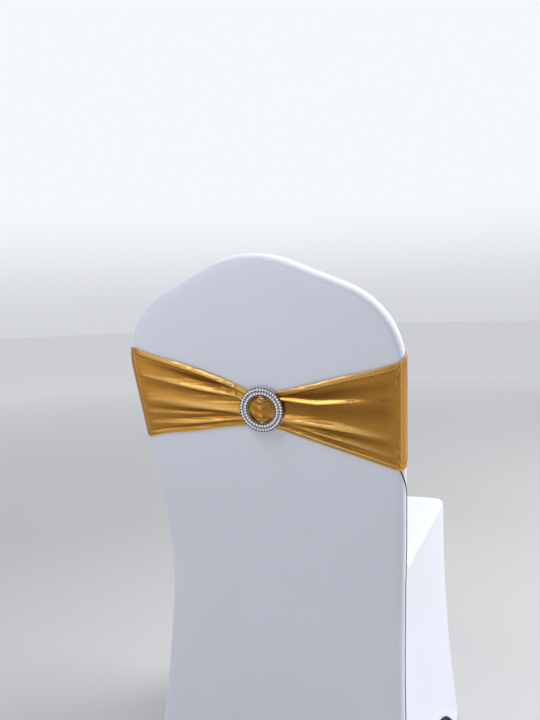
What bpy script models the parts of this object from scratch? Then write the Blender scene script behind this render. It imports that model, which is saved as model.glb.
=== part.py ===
"""Stretch chair cover with a foil sash and a round slider buckle.

The cover is a hollow cloth shell, cut as five panels. It stands as it hangs over a chair that is
not part of it: a leaning back with a pointed crown, a seat and four feet. The sash is one closed
band that is gathered through the buckle behind the back. Metres, +Z up, rear face towards -Y.
"""

import bisect
import math

import bpy
import numpy as np
from mathutils.geometry import delaunay_2d_cdt

# Back of the covered chair.
LEAN = 13.25  # degrees that the back leans, its top towards -Y
BACK_HALF = 0.210  # half width at the shoulders
BACK_TAPER = 0.050  # metres of half width lost for each metre below the shoulders
BACK_DEPTH = 0.030  # thickness of the covered back
PEAK_Z = 0.934  # height where the two crown slopes would meet
SHOULDER_DROP = 0.0939  # from that peak down to where slope and side would meet
PEAK_RADIUS = 0.150
SHOULDER_RADIUS = 0.120
EDGE_RADIUS = 0.010
EDGE_FALL = 0.0012  # the padded faces fall away by this much towards their edges
FALL_WIDTH = 0.020

# Seat and skirt.
SEAT_Z = 0.455
CREASE_RADIUS = 0.030
SEAT_RUN = 0.330  # straight part of the seat, front to rear
SEAT_EDGE_RADIUS = 0.035
SEAT_CROWN = 0.008
WAIST = 0.162  # how the sides flare again below the waist, per metre
SEAT_FLARE = 0.014
PULL = 0.010  # stretch cloth bows in between the legs
FOOT_WIDTH = 0.045
ARCH = 0.090  # rise of the hem between two feet
HEM_POWER = 2.6  # how square the arch of the hem is
WAIST_SHARE = 0.6  # how much of the back's taper goes on below the seat
FLARE_RUN = 0.36  # distance forwards over which the sides widen to the seat

# Cloth of the cover.
CLOTH = 0.0015
SEAM_GAP = 0.0004
SIDE_STEP = 0.034
FINE_STEP = 0.008
BEND_STEP = 0.0068
LATTICE = 0.046
PEAK_STEPS = 4
CROWN_STEPS = 3
SHOULDER_STEPS = 8
LOOP_MARGIN = 0.019  # lattice points keep this far from a panel's edge
FOLD_MARGIN = 0.018  # and this far from the lines kept along its rounded edge
SKIRT_MARGIN = 0.017
LINE_SHARE = 0.9  # the side skirt's lines lie closer than its columns, by this share
HEM_MARGIN = 0.012
HEM_SHARE = 0.55  # points lie closer along an arched hem, by this share
EDGE_CLEAR = 0.0016  # lines along the edge stop this far from the seam
CROWN_END = 0.200  # the crown's outline bends down to here
HEM_STEPS = 16  # points along a side skirt's hem
LEAN_STEP = 0.004  # distance either way over which the outline's slope is read
TIP_CUT = 6.0  # the side skirt's upper tip stops short of the other seams by this many half gaps

# Sash.
SASH = 0.0010
SASH_CLEAR = 0.0006
SASH_ROWS = 23
SASH_END = 0.190
SASH_STRETCH = 0.150  # past this far from the middle the places keep pace with the cover's edge
GATHER_START = 0.022
GATHER_RUN = 0.150
GATHER_RISE = 0.0016  # the gathered middle stands this much higher
GATHER_BOW = 0.0012  # and its middle row by this much more
SHIFT_RUN = 0.100  # distance over which the band's middle is pulled over to the ring
FOLD_FADE = 0.022
FOLD_START = 0.006
FOLD_EASE = 0.020

# Buckle.
RING_RADIUS = 0.0332
RING_WIDTH = 0.0128
RING_THICK = 0.0034
RING_U = 0.0012  # its centre lies a little right of the middle
RING_V = -0.2340
RING_TILT = 6.0  # degrees that its foot stands further off than its top
RING_STAND = 0.0070  # from the cover's rear face to the back of the ring, at its centre
BAR_WIDTH = 0.0030
BAR_THICK = 0.0014
BAR_SIDES = 8
BAR_BACK = 0.0001  # the bar's back lies this far in front of the ring's back
BAR_ROOT = 0.0020  # its ends reach this far into the ring
RING_TURNS = 48
RING_CLEAR = 0.0006  # the sash stays this far under the ring
RING_UNDER = 0.036  # as far out as this
WINDOW_CLEAR = 0.0004
WINDOW_EASE = 0.0095  # the cloth in the window rises over this distance from the ring
BAR_FLAT = 0.0024
BAR_EASE = 0.0050
WINDOW_RISE = 0.0010  # height over the bar, and again as much in its middle

# Section of the ring: place across its band from inner edge -1 to outer edge 1, and height.
RING_SECTION = (
    (-1.000, 0.0006),
    (-0.875, 0.0),
    (0.875, 0.0),
    (1.000, 0.0006),
    (1.000, 0.0016),
    (0.656, RING_THICK),
    (0.000, RING_THICK + 0.0005),
    (-0.656, RING_THICK),
    (-1.000, 0.0016),
)

# The rear outline of the chair from the side, from the peak down: length and turn in degrees.
REAR_WALK = (
    (0.420, 0.0),
    (0.160, -25.25),
    (0.374, 0.0),
)

# Where the side seam of the rear panel runs: distance down from the peak, and how far round the
# edge of the back it lies, measured from where the edge begins to round.
SEAM_TURN_START = 0.326
SEAM_TURN_END = 0.374
SEAM_BACK_END = 0.512
SEAM_TABLE = (
    (0.000, 0.0045),
    (SEAM_TURN_START, 0.0045),
    (SEAM_TURN_END, 0.0233),
    (0.476, 0.0233),
    (SEAM_BACK_END, 0.0170),
    (2.000, 0.0170),
)

# Sash edges behind the back: distance from the middle, top edge and bottom edge from the peak.
SASH_EDGES = (
    (-0.1900, -0.1420, -0.2860),
    (-0.1600, -0.1536, -0.2793),
    (-0.1200, -0.1655, -0.2748),
    (-0.0800, -0.1793, -0.2686),
    (-0.0400, -0.1965, -0.2629),
    (-0.0240, -0.2050, -0.2615),
    (-0.0165, -0.2110, -0.2575),
    (-0.0125, -0.2130, -0.2550),
    (-0.0100, -0.2140, -0.2540),
    (-0.0070, -0.2154, -0.2526),
    (-0.0035, -0.2150, -0.2530),
    (0.0035, -0.2150, -0.2530),
    (0.0070, -0.2154, -0.2526),
    (0.0100, -0.2140, -0.2540),
    (0.0125, -0.2130, -0.2555),
    (0.0165, -0.2110, -0.2590),
    (0.0240, -0.2080, -0.2665),
    (0.0400, -0.2050, -0.2729),
    (0.0800, -0.1957, -0.2864),
    (0.1200, -0.1857, -0.3000),
    (0.1600, -0.1764, -0.3136),
    (0.1900, -0.1668, -0.3240),
)

# Sash edges round the sides of the back: share of the way round, top edge and bottom edge. The
# last rows hold at the front of the back too, where the band lies flat.
SASH_LEFT = (
    (0.00, -0.1420, -0.2860),
    (1.00, -0.1460, -0.2900),
)
SASH_RIGHT = (
    (0.00, -0.1668, -0.3240),
    (0.15, -0.1640, -0.3250),
    (0.40, -0.1590, -0.3215),
    (0.60, -0.1575, -0.3150),
    (1.00, -0.1560, -0.3120),
)

# Places of the sash's stations: behind the back from the middle out, and along its front.
SASH_REACH = (
    0.0035, 0.0070, 0.0100, 0.0125, 0.0155, 0.0190, 0.0230, 0.0290, 0.0370, 0.0480,
    0.0620, 0.0800, 0.1000, 0.1220, 0.1460, 0.1620, 0.1780,
)
SASH_FRONT = (0.90, 0.50, 0.0, -0.50, -0.90)
TURN_STEPS = 3  # stations round each rounded edge

# Folds of the sash. Side -1 is left and 1 is right. Across gives the place between the top edge
# at 0 and the bottom edge at 1, at the side, half way and at the ring. Rise is its height there.
FOLDS = (
    # side, (across), (rise), half width
    (-1, (0.020, 0.030, 0.060), (0.0006, 0.0016, 0.0012), 0.0055),
    (-1, (0.100, 0.142, 0.125), (-0.0006, -0.0020, -0.0012), 0.0050),
    (-1, (0.290, 0.322, 0.260), (0.0008, 0.0022, 0.0016), 0.0042),
    (-1, (0.350, 0.395, 0.360), (-0.0008, -0.0012, -0.0004), 0.0065),
    (-1, (0.560, 0.610, 0.640), (0.0004, 0.0016, 0.0022), 0.0090),
    (-1, (0.644, 0.690, 0.725), (-0.0008, -0.0022, -0.0020), 0.0045),
    (-1, (0.786, 0.780, 0.775), (-0.0004, -0.0014, -0.0012), 0.0050),
    (-1, (0.860, 0.876, 0.840), (0.0004, 0.0016, 0.0016), 0.0045),
    (-1, (0.925, 0.935, 0.900), (-0.0003, -0.0012, -0.0010), 0.0045),
    (1, (0.020, 0.030, 0.060), (0.0006, 0.0014, 0.0012), 0.0050),
    (1, (0.160, 0.180, 0.130), (-0.0003, -0.0010, -0.0012), 0.0080),
    (1, (0.320, 0.328, 0.215), (0.0006, 0.0026, 0.0018), 0.0042),
    (1, (0.480, 0.500, 0.450), (-0.0003, -0.0010, -0.0004), 0.0160),
    (1, (0.695, 0.684, 0.690), (0.0008, 0.0024, 0.0020), 0.0080),
    (1, (0.750, 0.752, 0.745), (-0.0004, -0.0014, -0.0014), 0.0055),
    (1, (0.868, 0.840, 0.785), (0.0006, 0.0018, 0.0014), 0.0050),
    (1, (0.905, 0.882, 0.835), (-0.0003, -0.0014, -0.0012), 0.0040),
    (1, (0.955, 0.935, 0.880), (0.0006, 0.0016, 0.0012), 0.0050),
)
FOLD_SIDE = 0.172
FOLD_MIDDLE = 0.090
FOLD_RING = 0.030

# Materials: colour, roughness, metallic.
COVER_COLOUR = (0.800, 0.810, 0.840, 1.0)
COVER_ROUGHNESS = 0.62
SASH_COLOUR = (0.640, 0.340, 0.060, 1.0)
SASH_ROUGHNESS = 0.34
RING_COLOUR = (0.780, 0.790, 0.820, 1.0)
RING_ROUGHNESS = 0.18

QUARTER = EDGE_RADIUS * math.pi / 2.0
EDGE_FLAT = BACK_DEPTH - 2.0 * (EDGE_RADIUS + EDGE_FALL)
EDGE_ARC = 2.0 * QUARTER + EDGE_FLAT
SIDE_DEPTH = EDGE_RADIUS + EDGE_FALL
SLOPE = math.atan2(SHOULDER_DROP, BACK_HALF)
SIDE_TURN = math.pi / 2.0 + math.atan(BACK_TAPER)
SHOULDER_CUT = SHOULDER_RADIUS * math.tan((SIDE_TURN - SLOPE) / 2.0)
SHOULDER_REACH = math.hypot(BACK_HALF, SHOULDER_DROP) - SHOULDER_CUT
SHOULDER_ACROSS = SHOULDER_REACH * math.cos(SLOPE) - SHOULDER_RADIUS * math.sin(SLOPE)
SHOULDER_DOWN = SHOULDER_REACH * math.sin(SLOPE) + SHOULDER_RADIUS * math.cos(SLOPE)


def clear_scene():
    """Remove whatever the file opened with."""
    for thing in list(bpy.data.objects):
        bpy.data.objects.remove(thing, do_unlink=True)


def material(name, colour, roughness, metallic):
    """One plain principled material."""
    made = bpy.data.materials.new(name)
    made.use_nodes = True
    shader = made.node_tree.nodes["Principled BSDF"]
    shader.inputs["Base Color"].default_value = colour
    shader.inputs["Roughness"].default_value = roughness
    shader.inputs["Metallic"].default_value = metallic
    made.diffuse_color = colour
    return made


def smooth(value):
    """Ease from 0 to 1 with level ends."""
    value = min(1.0, max(0.0, value))
    return value * value * (3.0 - 2.0 * value)


def table_value(table, place, column):
    """Straight-line reading of a table whose first column rises."""
    return float(np.interp(place, [row[0] for row in table], [row[column] for row in table]))


def curve_value(table, place, column):
    """Smooth reading of a table, with no overshoot between its rows."""
    keys = [row[0] for row in table]
    place = min(keys[-1], max(keys[0], place))
    k = min(len(keys) - 2, max(0, bisect.bisect_right(keys, place) - 1))

    def slope(i):
        if i <= 0 or i >= len(keys) - 1:
            j = min(len(keys) - 2, max(0, i))
            return (table[j + 1][column] - table[j][column]) / (keys[j + 1] - keys[j])
        before = (table[i][column] - table[i - 1][column]) / (keys[i] - keys[i - 1])
        after = (table[i + 1][column] - table[i][column]) / (keys[i + 1] - keys[i])
        if before * after <= 0.0:
            return 0.0
        return 2.0 * before * after / (before + after)

    span = keys[k + 1] - keys[k]
    t = (place - keys[k]) / span
    rise = table[k + 1][column] - table[k][column]
    low, high = slope(k) * span, slope(k + 1) * span
    curve = (low + high - 2.0 * rise) * t + (3.0 * rise - 2.0 * low - high)
    return table[k][column] + t * (low + t * curve)


def walk(start, heading, segments, distance):
    """Point and heading after a distance along straight runs and arcs.

    A heading of 0 is straight down and a positive one turns towards the first axis.
    """
    along, down = start
    last = len(segments) - 1
    for number, (length, turn) in enumerate(segments):
        step = distance if number == last else min(distance, length)
        bend = math.radians(turn) / length
        if abs(bend) < 1e-9:
            along += step * math.sin(heading)
            down -= step * math.cos(heading)
        else:
            along += (math.cos(heading) - math.cos(heading + bend * step)) / bend
            down -= (math.sin(heading + bend * step) - math.sin(heading)) / bend
            heading += bend * step
        distance -= step
        if distance <= 0.0:
            break
    return along, down, heading


def front_walk():
    """Outline of the chair's front from the side, from the peak down to the floor."""
    lean = math.radians(LEAN)
    top = PEAK_Z + BACK_DEPTH * math.sin(lean)
    crease_drop = CREASE_RADIUS * (1.0 - math.sin(lean))
    run = (top - SEAT_Z - crease_drop) / math.cos(lean)
    return (
        (run, 0.0),
        (CREASE_RADIUS * math.radians(90.0 - LEAN), 90.0 - LEAN),
        (SEAT_RUN, 0.0),
        (SEAT_EDGE_RADIUS * math.pi / 2.0, -90.0),
        (SEAT_Z - SEAT_EDGE_RADIUS, 0.0),
    )


FRONT_WALK = front_walk()
KNEE = FRONT_WALK[0][0]  # distance down where back and seat begin to meet
CREASE = KNEE + FRONT_WALK[1][0] / 2.0
REAR_END = sum(row[0] for row in REAR_WALK)
FRONT_END = sum(row[0] for row in FRONT_WALK)


def rear_profile(distance):
    """Rear outline of the chair: y, z and heading at a distance down from the peak."""
    return walk((0.0, PEAK_Z), math.radians(LEAN), REAR_WALK, distance)


def front_profile(distance):
    """Front outline of the chair: y, z and heading at a distance down from the peak."""
    lean = math.radians(LEAN)
    start = (BACK_DEPTH * math.cos(lean), PEAK_Z + BACK_DEPTH * math.sin(lean))
    return walk(start, lean, FRONT_WALK, distance)


def side_half_width(y, z):
    """Half width of the cover below the back, at a place on its side."""
    knee_y, knee_z, _ = front_profile(KNEE)
    low = BACK_HALF - BACK_TAPER * (KNEE - SHOULDER_DROP)
    drop = max(0.0, knee_z - z)
    flare = SEAT_FLARE * smooth((y - knee_y) / FLARE_RUN)
    return low - BACK_TAPER * WAIST_SHARE * drop + WAIST * drop * drop + flare


def half_width(distance, profile):
    """Half width of the cover at a distance down one of the two outlines."""
    if distance <= KNEE:
        return BACK_HALF - BACK_TAPER * (distance - SHOULDER_DROP)
    y, z, _ = profile(distance)
    knee_y, knee_z, _ = profile(KNEE)
    low = BACK_HALF - BACK_TAPER * (KNEE - SHOULDER_DROP)
    drop = max(0.0, knee_z - z)
    flare = SEAT_FLARE * smooth((y - knee_y) / FLARE_RUN)
    return low - BACK_TAPER * WAIST_SHARE * drop + WAIST * drop * drop + flare


def cover_half(distance):
    """Half width of the back at a distance down, its rounded shoulders included."""
    if distance < SHOULDER_DOWN - SHOULDER_RADIUS * math.cos(SIDE_TURN):
        rise = SHOULDER_DOWN - distance
        return SHOULDER_ACROSS + math.sqrt(SHOULDER_RADIUS**2 - rise * rise)
    return BACK_HALF - BACK_TAPER * (distance - SHOULDER_DROP)


def outline_samples(profile, end, breaks):
    """Right half of the outline, from the crown down: place and outward direction.

    Each row is (across, down, outward across, outward down), down being negative.
    """
    peak_cut = PEAK_RADIUS * math.tan(SLOPE)
    peak_down = PEAK_RADIUS * (1.0 / math.cos(SLOPE) - 1.0)
    rows = []
    for step in range(PEAK_STEPS + 1):
        angle = SLOPE * step / PEAK_STEPS
        across = PEAK_RADIUS * math.sin(angle)
        down = -peak_down - PEAK_RADIUS * (1.0 - math.cos(angle))
        rows.append((across, down, math.sin(angle), math.cos(angle)))
    straight = SHOULDER_REACH - peak_cut
    for step in range(1, CROWN_STEPS + 1):
        reach = peak_cut + straight * step / CROWN_STEPS
        across = reach * math.cos(SLOPE)
        down = -reach * math.sin(SLOPE)
        rows.append((across, down, math.sin(SLOPE), math.cos(SLOPE)))
    for step in range(1, SHOULDER_STEPS + 1):
        angle = SLOPE + (SIDE_TURN - SLOPE) * step / SHOULDER_STEPS
        across = SHOULDER_ACROSS + SHOULDER_RADIUS * math.sin(angle)
        down = -SHOULDER_DOWN + SHOULDER_RADIUS * math.cos(angle)
        rows.append((across, down, math.sin(angle), math.cos(angle)))
    marks = [-rows[-1][1]] + [place for place, _ in breaks if place < end - 1e-6] + [end]
    steps = [0.0] + [step for place, step in breaks if place < end - 1e-6] + [SIDE_STEP]
    for low, high, step in zip(marks[:-1], marks[1:], steps[1:]):
        count = max(1, math.ceil((high - low) / step - 1e-6))
        for k in range(1, count + 1):
            place = low + (high - low) * k / count
            width = half_width(place, profile)
            ahead = half_width(place + LEAN_STEP, profile)
            behind = half_width(place - LEAN_STEP, profile)
            lean = (ahead - behind) / (2.0 * LEAN_STEP)
            size = math.hypot(1.0, lean)
            rows.append((width, -place, 1.0 / size, lean / size))
    return rows


def edge_offset(arc):
    """Outward reach, depth and turn at a distance round the edge of the back."""
    if arc <= 0.0:
        fall = EDGE_FALL * max(0.0, 1.0 + arc / FALL_WIDTH) ** 2
        return arc, fall, 0.0
    if arc <= QUARTER:
        turn = arc / EDGE_RADIUS
        depth = EDGE_FALL + EDGE_RADIUS * (1.0 - math.cos(turn))
        return EDGE_RADIUS * math.sin(turn), depth, turn
    if arc <= QUARTER + EDGE_FLAT:
        return EDGE_RADIUS, SIDE_DEPTH + (arc - QUARTER), math.pi / 2.0
    turn = (arc - QUARTER - EDGE_FLAT) / EDGE_RADIUS + math.pi / 2.0
    depth = SIDE_DEPTH + EDGE_FLAT - EDGE_RADIUS * math.cos(turn)
    return EDGE_RADIUS * math.sin(turn), depth, turn


def place_point(profile, inward, across, down, depth):
    """World place of a point at a depth under one of the two outlines."""
    y, z, heading = profile(max(0.0, -down))
    return (
        across,
        y + inward * depth * math.cos(heading),
        z + inward * depth * math.sin(heading),
    )


def edge_point(profile, inward, row, arc, lift=0.0):
    """World place and outward direction at a distance round the edge."""
    across, down, out_across, out_down = row
    reach, depth, turn = edge_offset(arc)
    reach += lift * math.sin(turn)
    depth -= lift * math.cos(turn)
    shift = reach - EDGE_RADIUS
    place = place_point(
        profile, inward, across + out_across * shift, down + out_down * shift, depth
    )
    _, _, heading = profile(max(0.0, -(down + out_down * shift)))
    sine, cosine = math.sin(turn), math.cos(turn)
    normal = (
        sine * out_across,
        -inward * cosine * math.cos(heading) - sine * out_down * math.sin(heading),
        -inward * cosine * math.sin(heading) + sine * out_down * math.cos(heading),
    )
    return place, normal


def inside(point, loop):
    """Whether a flat point lies inside a closed loop."""
    x, y = point
    hit = False
    for (ax, ay), (bx, by) in zip(loop, loop[1:] + loop[:1]):
        if (ay > y) != (by > y) and x < (bx - ax) * (y - ay) / (by - ay) + ax:
            hit = not hit
    return hit


def loop_distance(point, loop):
    """Distance from a flat point to a closed loop."""
    best = 10.0
    for (ax, ay), (bx, by) in zip(loop, loop[1:] + loop[:1]):
        run, rise = bx - ax, by - ay
        size = run * run + rise * rise
        t = ((point[0] - ax) * run + (point[1] - ay) * rise) / max(size, 1e-12)
        t = min(1.0, max(0.0, t))
        best = min(best, math.hypot(point[0] - ax - t * run, point[1] - ay - t * rise))
    return best


def thick_sheet(name, places, normals, triangles, thickness, skin):
    """Closed sheet: an outer face, the same face moved inwards, and its rim."""
    count = len(places)
    inner = [
        tuple(p[i] - n[i] * thickness for i in range(3)) for p, n in zip(places, normals)
    ]
    faces = list(triangles)
    faces += [tuple(count + k for k in reversed(face)) for face in triangles]
    edges = {}
    for face in triangles:
        for k in range(len(face)):
            edges[(face[k], face[(k + 1) % len(face)])] = True
    for low, high in edges:
        if (high, low) not in edges:
            faces.append((high, low, count + low, count + high))
    mesh = bpy.data.meshes.new(name)
    mesh.from_pydata(list(places) + inner, [], faces)
    mesh.validate()
    mesh.update()
    mesh.polygons.foreach_set("use_smooth", [True] * len(mesh.polygons))
    made = bpy.data.objects.new(name, mesh)
    bpy.context.collection.objects.link(made)
    made.data.materials.append(skin)
    return made


def flat_triangles(domain, loop_count, facing):
    """Triangles of a flat region whose first points are its closed edge."""
    edge = list(range(loop_count))
    made = delaunay_2d_cdt(domain, [], [edge], 1, 1e-7)
    points, _, faces, sources = made[0], made[1], made[2], made[3]
    if len(points) != len(domain):
        raise RuntimeError("the edge of a panel crosses itself")
    triangles = []
    for face in faces:
        a, b, c = (sources[k][0] for k in face)
        (ax, ay), (bx, by), (cx, cy) = domain[a], domain[b], domain[c]
        area = (bx - ax) * (cy - ay) - (cx - ax) * (by - ay)
        triangles.append((a, b, c) if area * facing > 0.0 else (a, c, b))
    return triangles


def seam_arc(distance):
    """How far round the edge the rear panel's side seam lies."""
    return table_value(SEAM_TABLE, distance, 1)


def bow(across, width, height):
    """How far a free stretch of skirt is pulled in towards the legs."""
    share = math.cos(math.pi / 2.0 * min(1.0, abs(across) / width))
    rise = math.sin(math.pi * min(1.0, max(0.0, height / SEAT_Z)))
    return PULL * share * rise


def strip_panel(name, profile, inward, rows, arcs, seam, top, end, arch, skin):
    """One panel that covers a face of the chair and wraps round its edges.

    rows are the right half of its outline, arcs are the lines kept along the edge, seam gives
    where the panel ends round the edge, and top is the distance down of a straight upper edge,
    or None where the panel follows the crown.
    """
    domain, places, normals = [], [], []

    def add(side, row, arc):
        """Add one point of the rim, mirrored for the left side."""
        place, normal = edge_point(profile, inward, row, arc)
        shift = arc - EDGE_RADIUS
        flat = (row[0] + row[2] * shift, row[1] + row[3] * shift)
        domain.append((side * flat[0], flat[1]))
        places.append((side * place[0], place[1], place[2]))
        normals.append((side * normal[0], normal[1], normal[2]))

    def add_flat(across, down):
        """Add one point away from the edges."""
        _, z, heading = profile(-down)
        width = half_width(-down, profile) - EDGE_RADIUS
        depth = bow(across, width, z) if arch else 0.0
        if inward < 0 and abs(math.degrees(heading) - 90.0) < 1.0:
            share = math.cos(math.pi / 2.0 * min(1.0, across / width))
            depth = -SEAT_CROWN * share * math.sin(math.pi * (-down - KNEE) / (SEAT_RUN + 0.08))
        domain.append((across, down))
        places.append(place_point(profile, inward, across, down, depth))
        normals.append((0.0, -inward * math.cos(heading), -inward * math.sin(heading)))

    gap = SEAM_GAP / 2.0
    right = [(row, seam(-row[1]) - gap) for row in rows]
    if top is None:
        sides = [(-1, *pair) for pair in reversed(right[1:])] + [(1, *pair) for pair in right]
    else:
        right = [pair for pair in right if -pair[0][1] >= top - 1e-6]
        sides = [(-1, *pair) for pair in reversed(right)]
    for side, row, arc in sides:
        add(side, row, arc)
    if top is not None:
        first = right[0]
        for arc in [a for a in reversed(arcs) if a < first[1] - 0.001]:
            add(-1, first[0], arc)
        width = first[0][0] - EDGE_RADIUS + min(arcs)
        count = max(2, round(2.0 * width / LATTICE))
        for k in range(1, count):
            add_flat(-width + 2.0 * width * k / count, first[0][1])
        for arc in [a for a in arcs if a < first[1] - 0.001]:
            add(1, first[0], arc)
        for row, arc in right:
            add(1, row, arc)

    last, last_arc = right[-1]
    kept = [arc for arc in arcs if arc < last_arc - 0.001 and (arc >= 0.0 or not arch)]
    width = last[0] - EDGE_RADIUS + min(kept)
    rise = ARCH if arch else 0.0
    span = width - FOOT_WIDTH if arch else width

    def hem(across):
        """Distance down of the lower edge."""
        share = min(1.0, abs(across) / span)
        return -end + rise * (1.0 - share**HEM_POWER)

    for arc in reversed(kept):
        add(1, last, arc)
    count = max(2, round(2.0 * width / LATTICE))
    if arch:
        count = max(4, 2 * round(width / (LATTICE * HEM_SHARE)))
    for k in range(1, count):
        across = width - 2.0 * width * k / count
        add_flat(across, hem(across))
    for arc in kept:
        add(-1, last, arc)

    loop_count = len(domain)
    loop = list(domain)
    start = right[0][0][1]
    for side in (-1, 1):
        for row, limit in right[:-1]:
            if top is not None and row is right[0][0]:
                continue
            if side < 0 and row[0] < 1e-6:
                continue
            for arc in arcs:
                if arc > limit - EDGE_CLEAR:
                    continue
                point = (side * (row[0] + row[2] * (arc - EDGE_RADIUS)), row[1])
                if arch and row[1] < hem(point[0]) + HEM_MARGIN:
                    continue
                add(side, row, arc)
    margin = min(arcs) - EDGE_RADIUS
    columns = max(2, round(2.0 * BACK_HALF / LATTICE))
    lines = math.ceil((end + start) / LATTICE)
    for i in range(-columns // 2, columns // 2 + 1):
        for j in range(1, lines):
            point = (i * LATTICE * (1.0 if j % 2 else 0.96), start - j * LATTICE)
            if not inside(point, loop) or loop_distance(point, loop) < LOOP_MARGIN:
                continue
            near = half_width(-point[1], profile) - abs(point[0])
            if top is None and -point[1] < CROWN_END:
                near = min(
                    (row[0] - abs(point[0])) * row[2] + (row[1] - point[1]) * row[3]
                    for row in rows
                    if -row[1] < CROWN_END + LATTICE
                )
            if near < -margin + FOLD_MARGIN:
                continue
            add_flat(*point)
    triangles = flat_triangles(domain, loop_count, inward)
    return thick_sheet(name, places, normals, triangles, CLOTH, skin)


def side_panel(name, side, rear_rows, front_rows, skin):
    """Side skirt between the rear panel's seam and the seat's edge, down to the floor."""
    gap = SEAM_GAP / 2.0
    edge = []
    for row in reversed(rear_rows):
        if -row[1] < KNEE - 1e-6:
            continue
        arc = seam_arc(-row[1])
        place, _ = edge_point(rear_profile, 1, row, arc)
        heading = rear_profile(-row[1])[2]
        edge.append((place, (math.cos(heading), math.sin(heading))))
    tip = edge.pop()
    above = []
    for row in front_rows:
        if -row[1] < KNEE - 1e-6:
            continue
        place, _ = edge_point(front_profile, -1, row, QUARTER)
        heading = front_profile(-row[1])[2]
        above.append((place, (-math.cos(heading), -math.sin(heading))))
    tip_turn = (
        tip[1][0] + above[0][1][0],
        tip[1][1] + above[0][1][1] - TIP_CUT,
    )
    size = math.hypot(*tip_turn)
    above[0] = (above[0][0], (TIP_CUT * tip_turn[0] / size, TIP_CUT * tip_turn[1] / size))
    domain, places, normals = [], [], []
    for place, turn in edge + above:
        y = place[1] + turn[0] * gap
        z = place[2] + turn[1] * gap
        domain.append((y, z))
        places.append((side * place[0], y, z))
        normals.append((float(side), 0.0, 0.0))
    front_y = domain[-1][0]
    rear_y = domain[0][0]
    middle = (front_y + rear_y) / 2.0
    span = (front_y - rear_y) / 2.0 - FOOT_WIDTH

    def hem(y):
        """Height of the lower edge."""
        share = min(1.0, abs(y - middle) / span)
        return ARCH * (1.0 - share**HEM_POWER)

    def add(y, z):
        """Add one point of the free cloth."""
        width = side_half_width(y, z)
        share = (y - rear_y) / (front_y - rear_y)
        rise = math.sin(math.pi * min(1.0, max(0.0, z / SEAT_Z)))
        pull = PULL * math.sin(math.pi * min(1.0, max(0.0, share))) * rise
        domain.append((y, z))
        places.append((side * (width - pull), y, z))
        normals.append((float(side), 0.0, 0.0))

    for k in range(1, HEM_STEPS):
        y = front_y + (rear_y - front_y) * k / HEM_STEPS
        add(y, hem(y))
    loop = list(domain)
    columns = math.ceil((front_y - rear_y) / LATTICE)
    lines = math.ceil(SEAT_Z / (LATTICE * LINE_SHARE))
    for i in range(1, columns + 1):
        for j in range(1, lines + 1):
            point = (rear_y + (i + 0.5 * (j % 2)) * LATTICE, j * LATTICE * LINE_SHARE)
            if inside(point, loop) and loop_distance(point, loop) > SKIRT_MARGIN:
                add(*point)
    triangles = flat_triangles(domain, len(loop), side)
    return thick_sheet(name, places, normals, triangles, CLOTH, skin)


def fold_height(across, share, span):
    """Sum of the gathered folds at one place of the sash."""
    away = abs(across)
    side = -1 if across < 0 else 1
    places = ((FOLD_RING, 2), (FOLD_MIDDLE, 1), (FOLD_SIDE, 0))
    total = 0.0
    fade = 1.0 - smooth((away - FOLD_SIDE) / FOLD_FADE)
    fade *= smooth((away - FOLD_START) / FOLD_EASE)
    for fold_side, across_places, rises, width in FOLDS:
        if fold_side != side:
            continue
        at = [(key, across_places[k], rises[k]) for key, k in places]
        centre = curve_value(at, away, 1)
        rise = curve_value(at, away, 2)
        off = (share - centre) * span / width
        total += rise * math.exp(-off * off)
    return total * fade


def sash_height(across, share, top, bottom):
    """Height of the sash's outer face over the rear face of the cover."""
    away = abs(across)
    down = top + (bottom - top) * share - RING_V
    low = SASH + SASH_CLEAR
    middle = 1.0 - (2.0 * share - 1.0) ** 2
    gather = 1.0 - smooth((away - GATHER_START) / GATHER_RUN)
    height = low + gather * (GATHER_RISE + GATHER_BOW * middle)
    height += fold_height(across, share, top - bottom)
    ring_back = RING_STAND - down * math.sin(math.radians(RING_TILT))
    height = min(height, ring_back - RING_CLEAR + max(0.0, away - RING_UNDER))
    height = max(low, height)
    inner = RING_RADIUS - RING_WIDTH - WINDOW_CLEAR
    radius = math.hypot(away, down)
    if radius >= inner:
        return height
    dome = smooth((inner - radius) / WINDOW_EASE)
    dome = max(dome, 1.0 - smooth((away - BAR_FLAT) / BAR_EASE))
    crest = ring_back + BAR_THICK + SASH + WINDOW_RISE * (1.0 + middle)
    return height + dome * (crest - height)


def sash_stations():
    """Stations round the band: which part of the way round, and the place there."""
    rear = [-reach for reach in reversed(SASH_REACH)] + [0.0] + list(SASH_REACH)
    turns = [QUARTER / EDGE_ARC * k / TURN_STEPS for k in range(TURN_STEPS + 1)]
    shares = turns + [1.0 - turn for turn in reversed(turns)]
    made = [("rear", place) for place in rear]
    made += [("right", share) for share in shares]
    made += [("front", place) for place in SASH_FRONT]
    made += [("left", share) for share in reversed(shares)]
    return made


def sash_edges(kind, value):
    """Top and bottom edge of the band at a station, both down from the peak."""
    if kind == "rear":
        return curve_value(SASH_EDGES, value, 1), curve_value(SASH_EDGES, value, 2)
    if kind == "front":
        mix = (value + 1.0) / 2.0
        left, right = SASH_LEFT[-1], SASH_RIGHT[-1]
        return left[1] + (right[1] - left[1]) * mix, left[2] + (right[2] - left[2]) * mix
    table = SASH_RIGHT if kind == "right" else SASH_LEFT
    return curve_value(table, value, 1), curve_value(table, value, 2)


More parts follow.
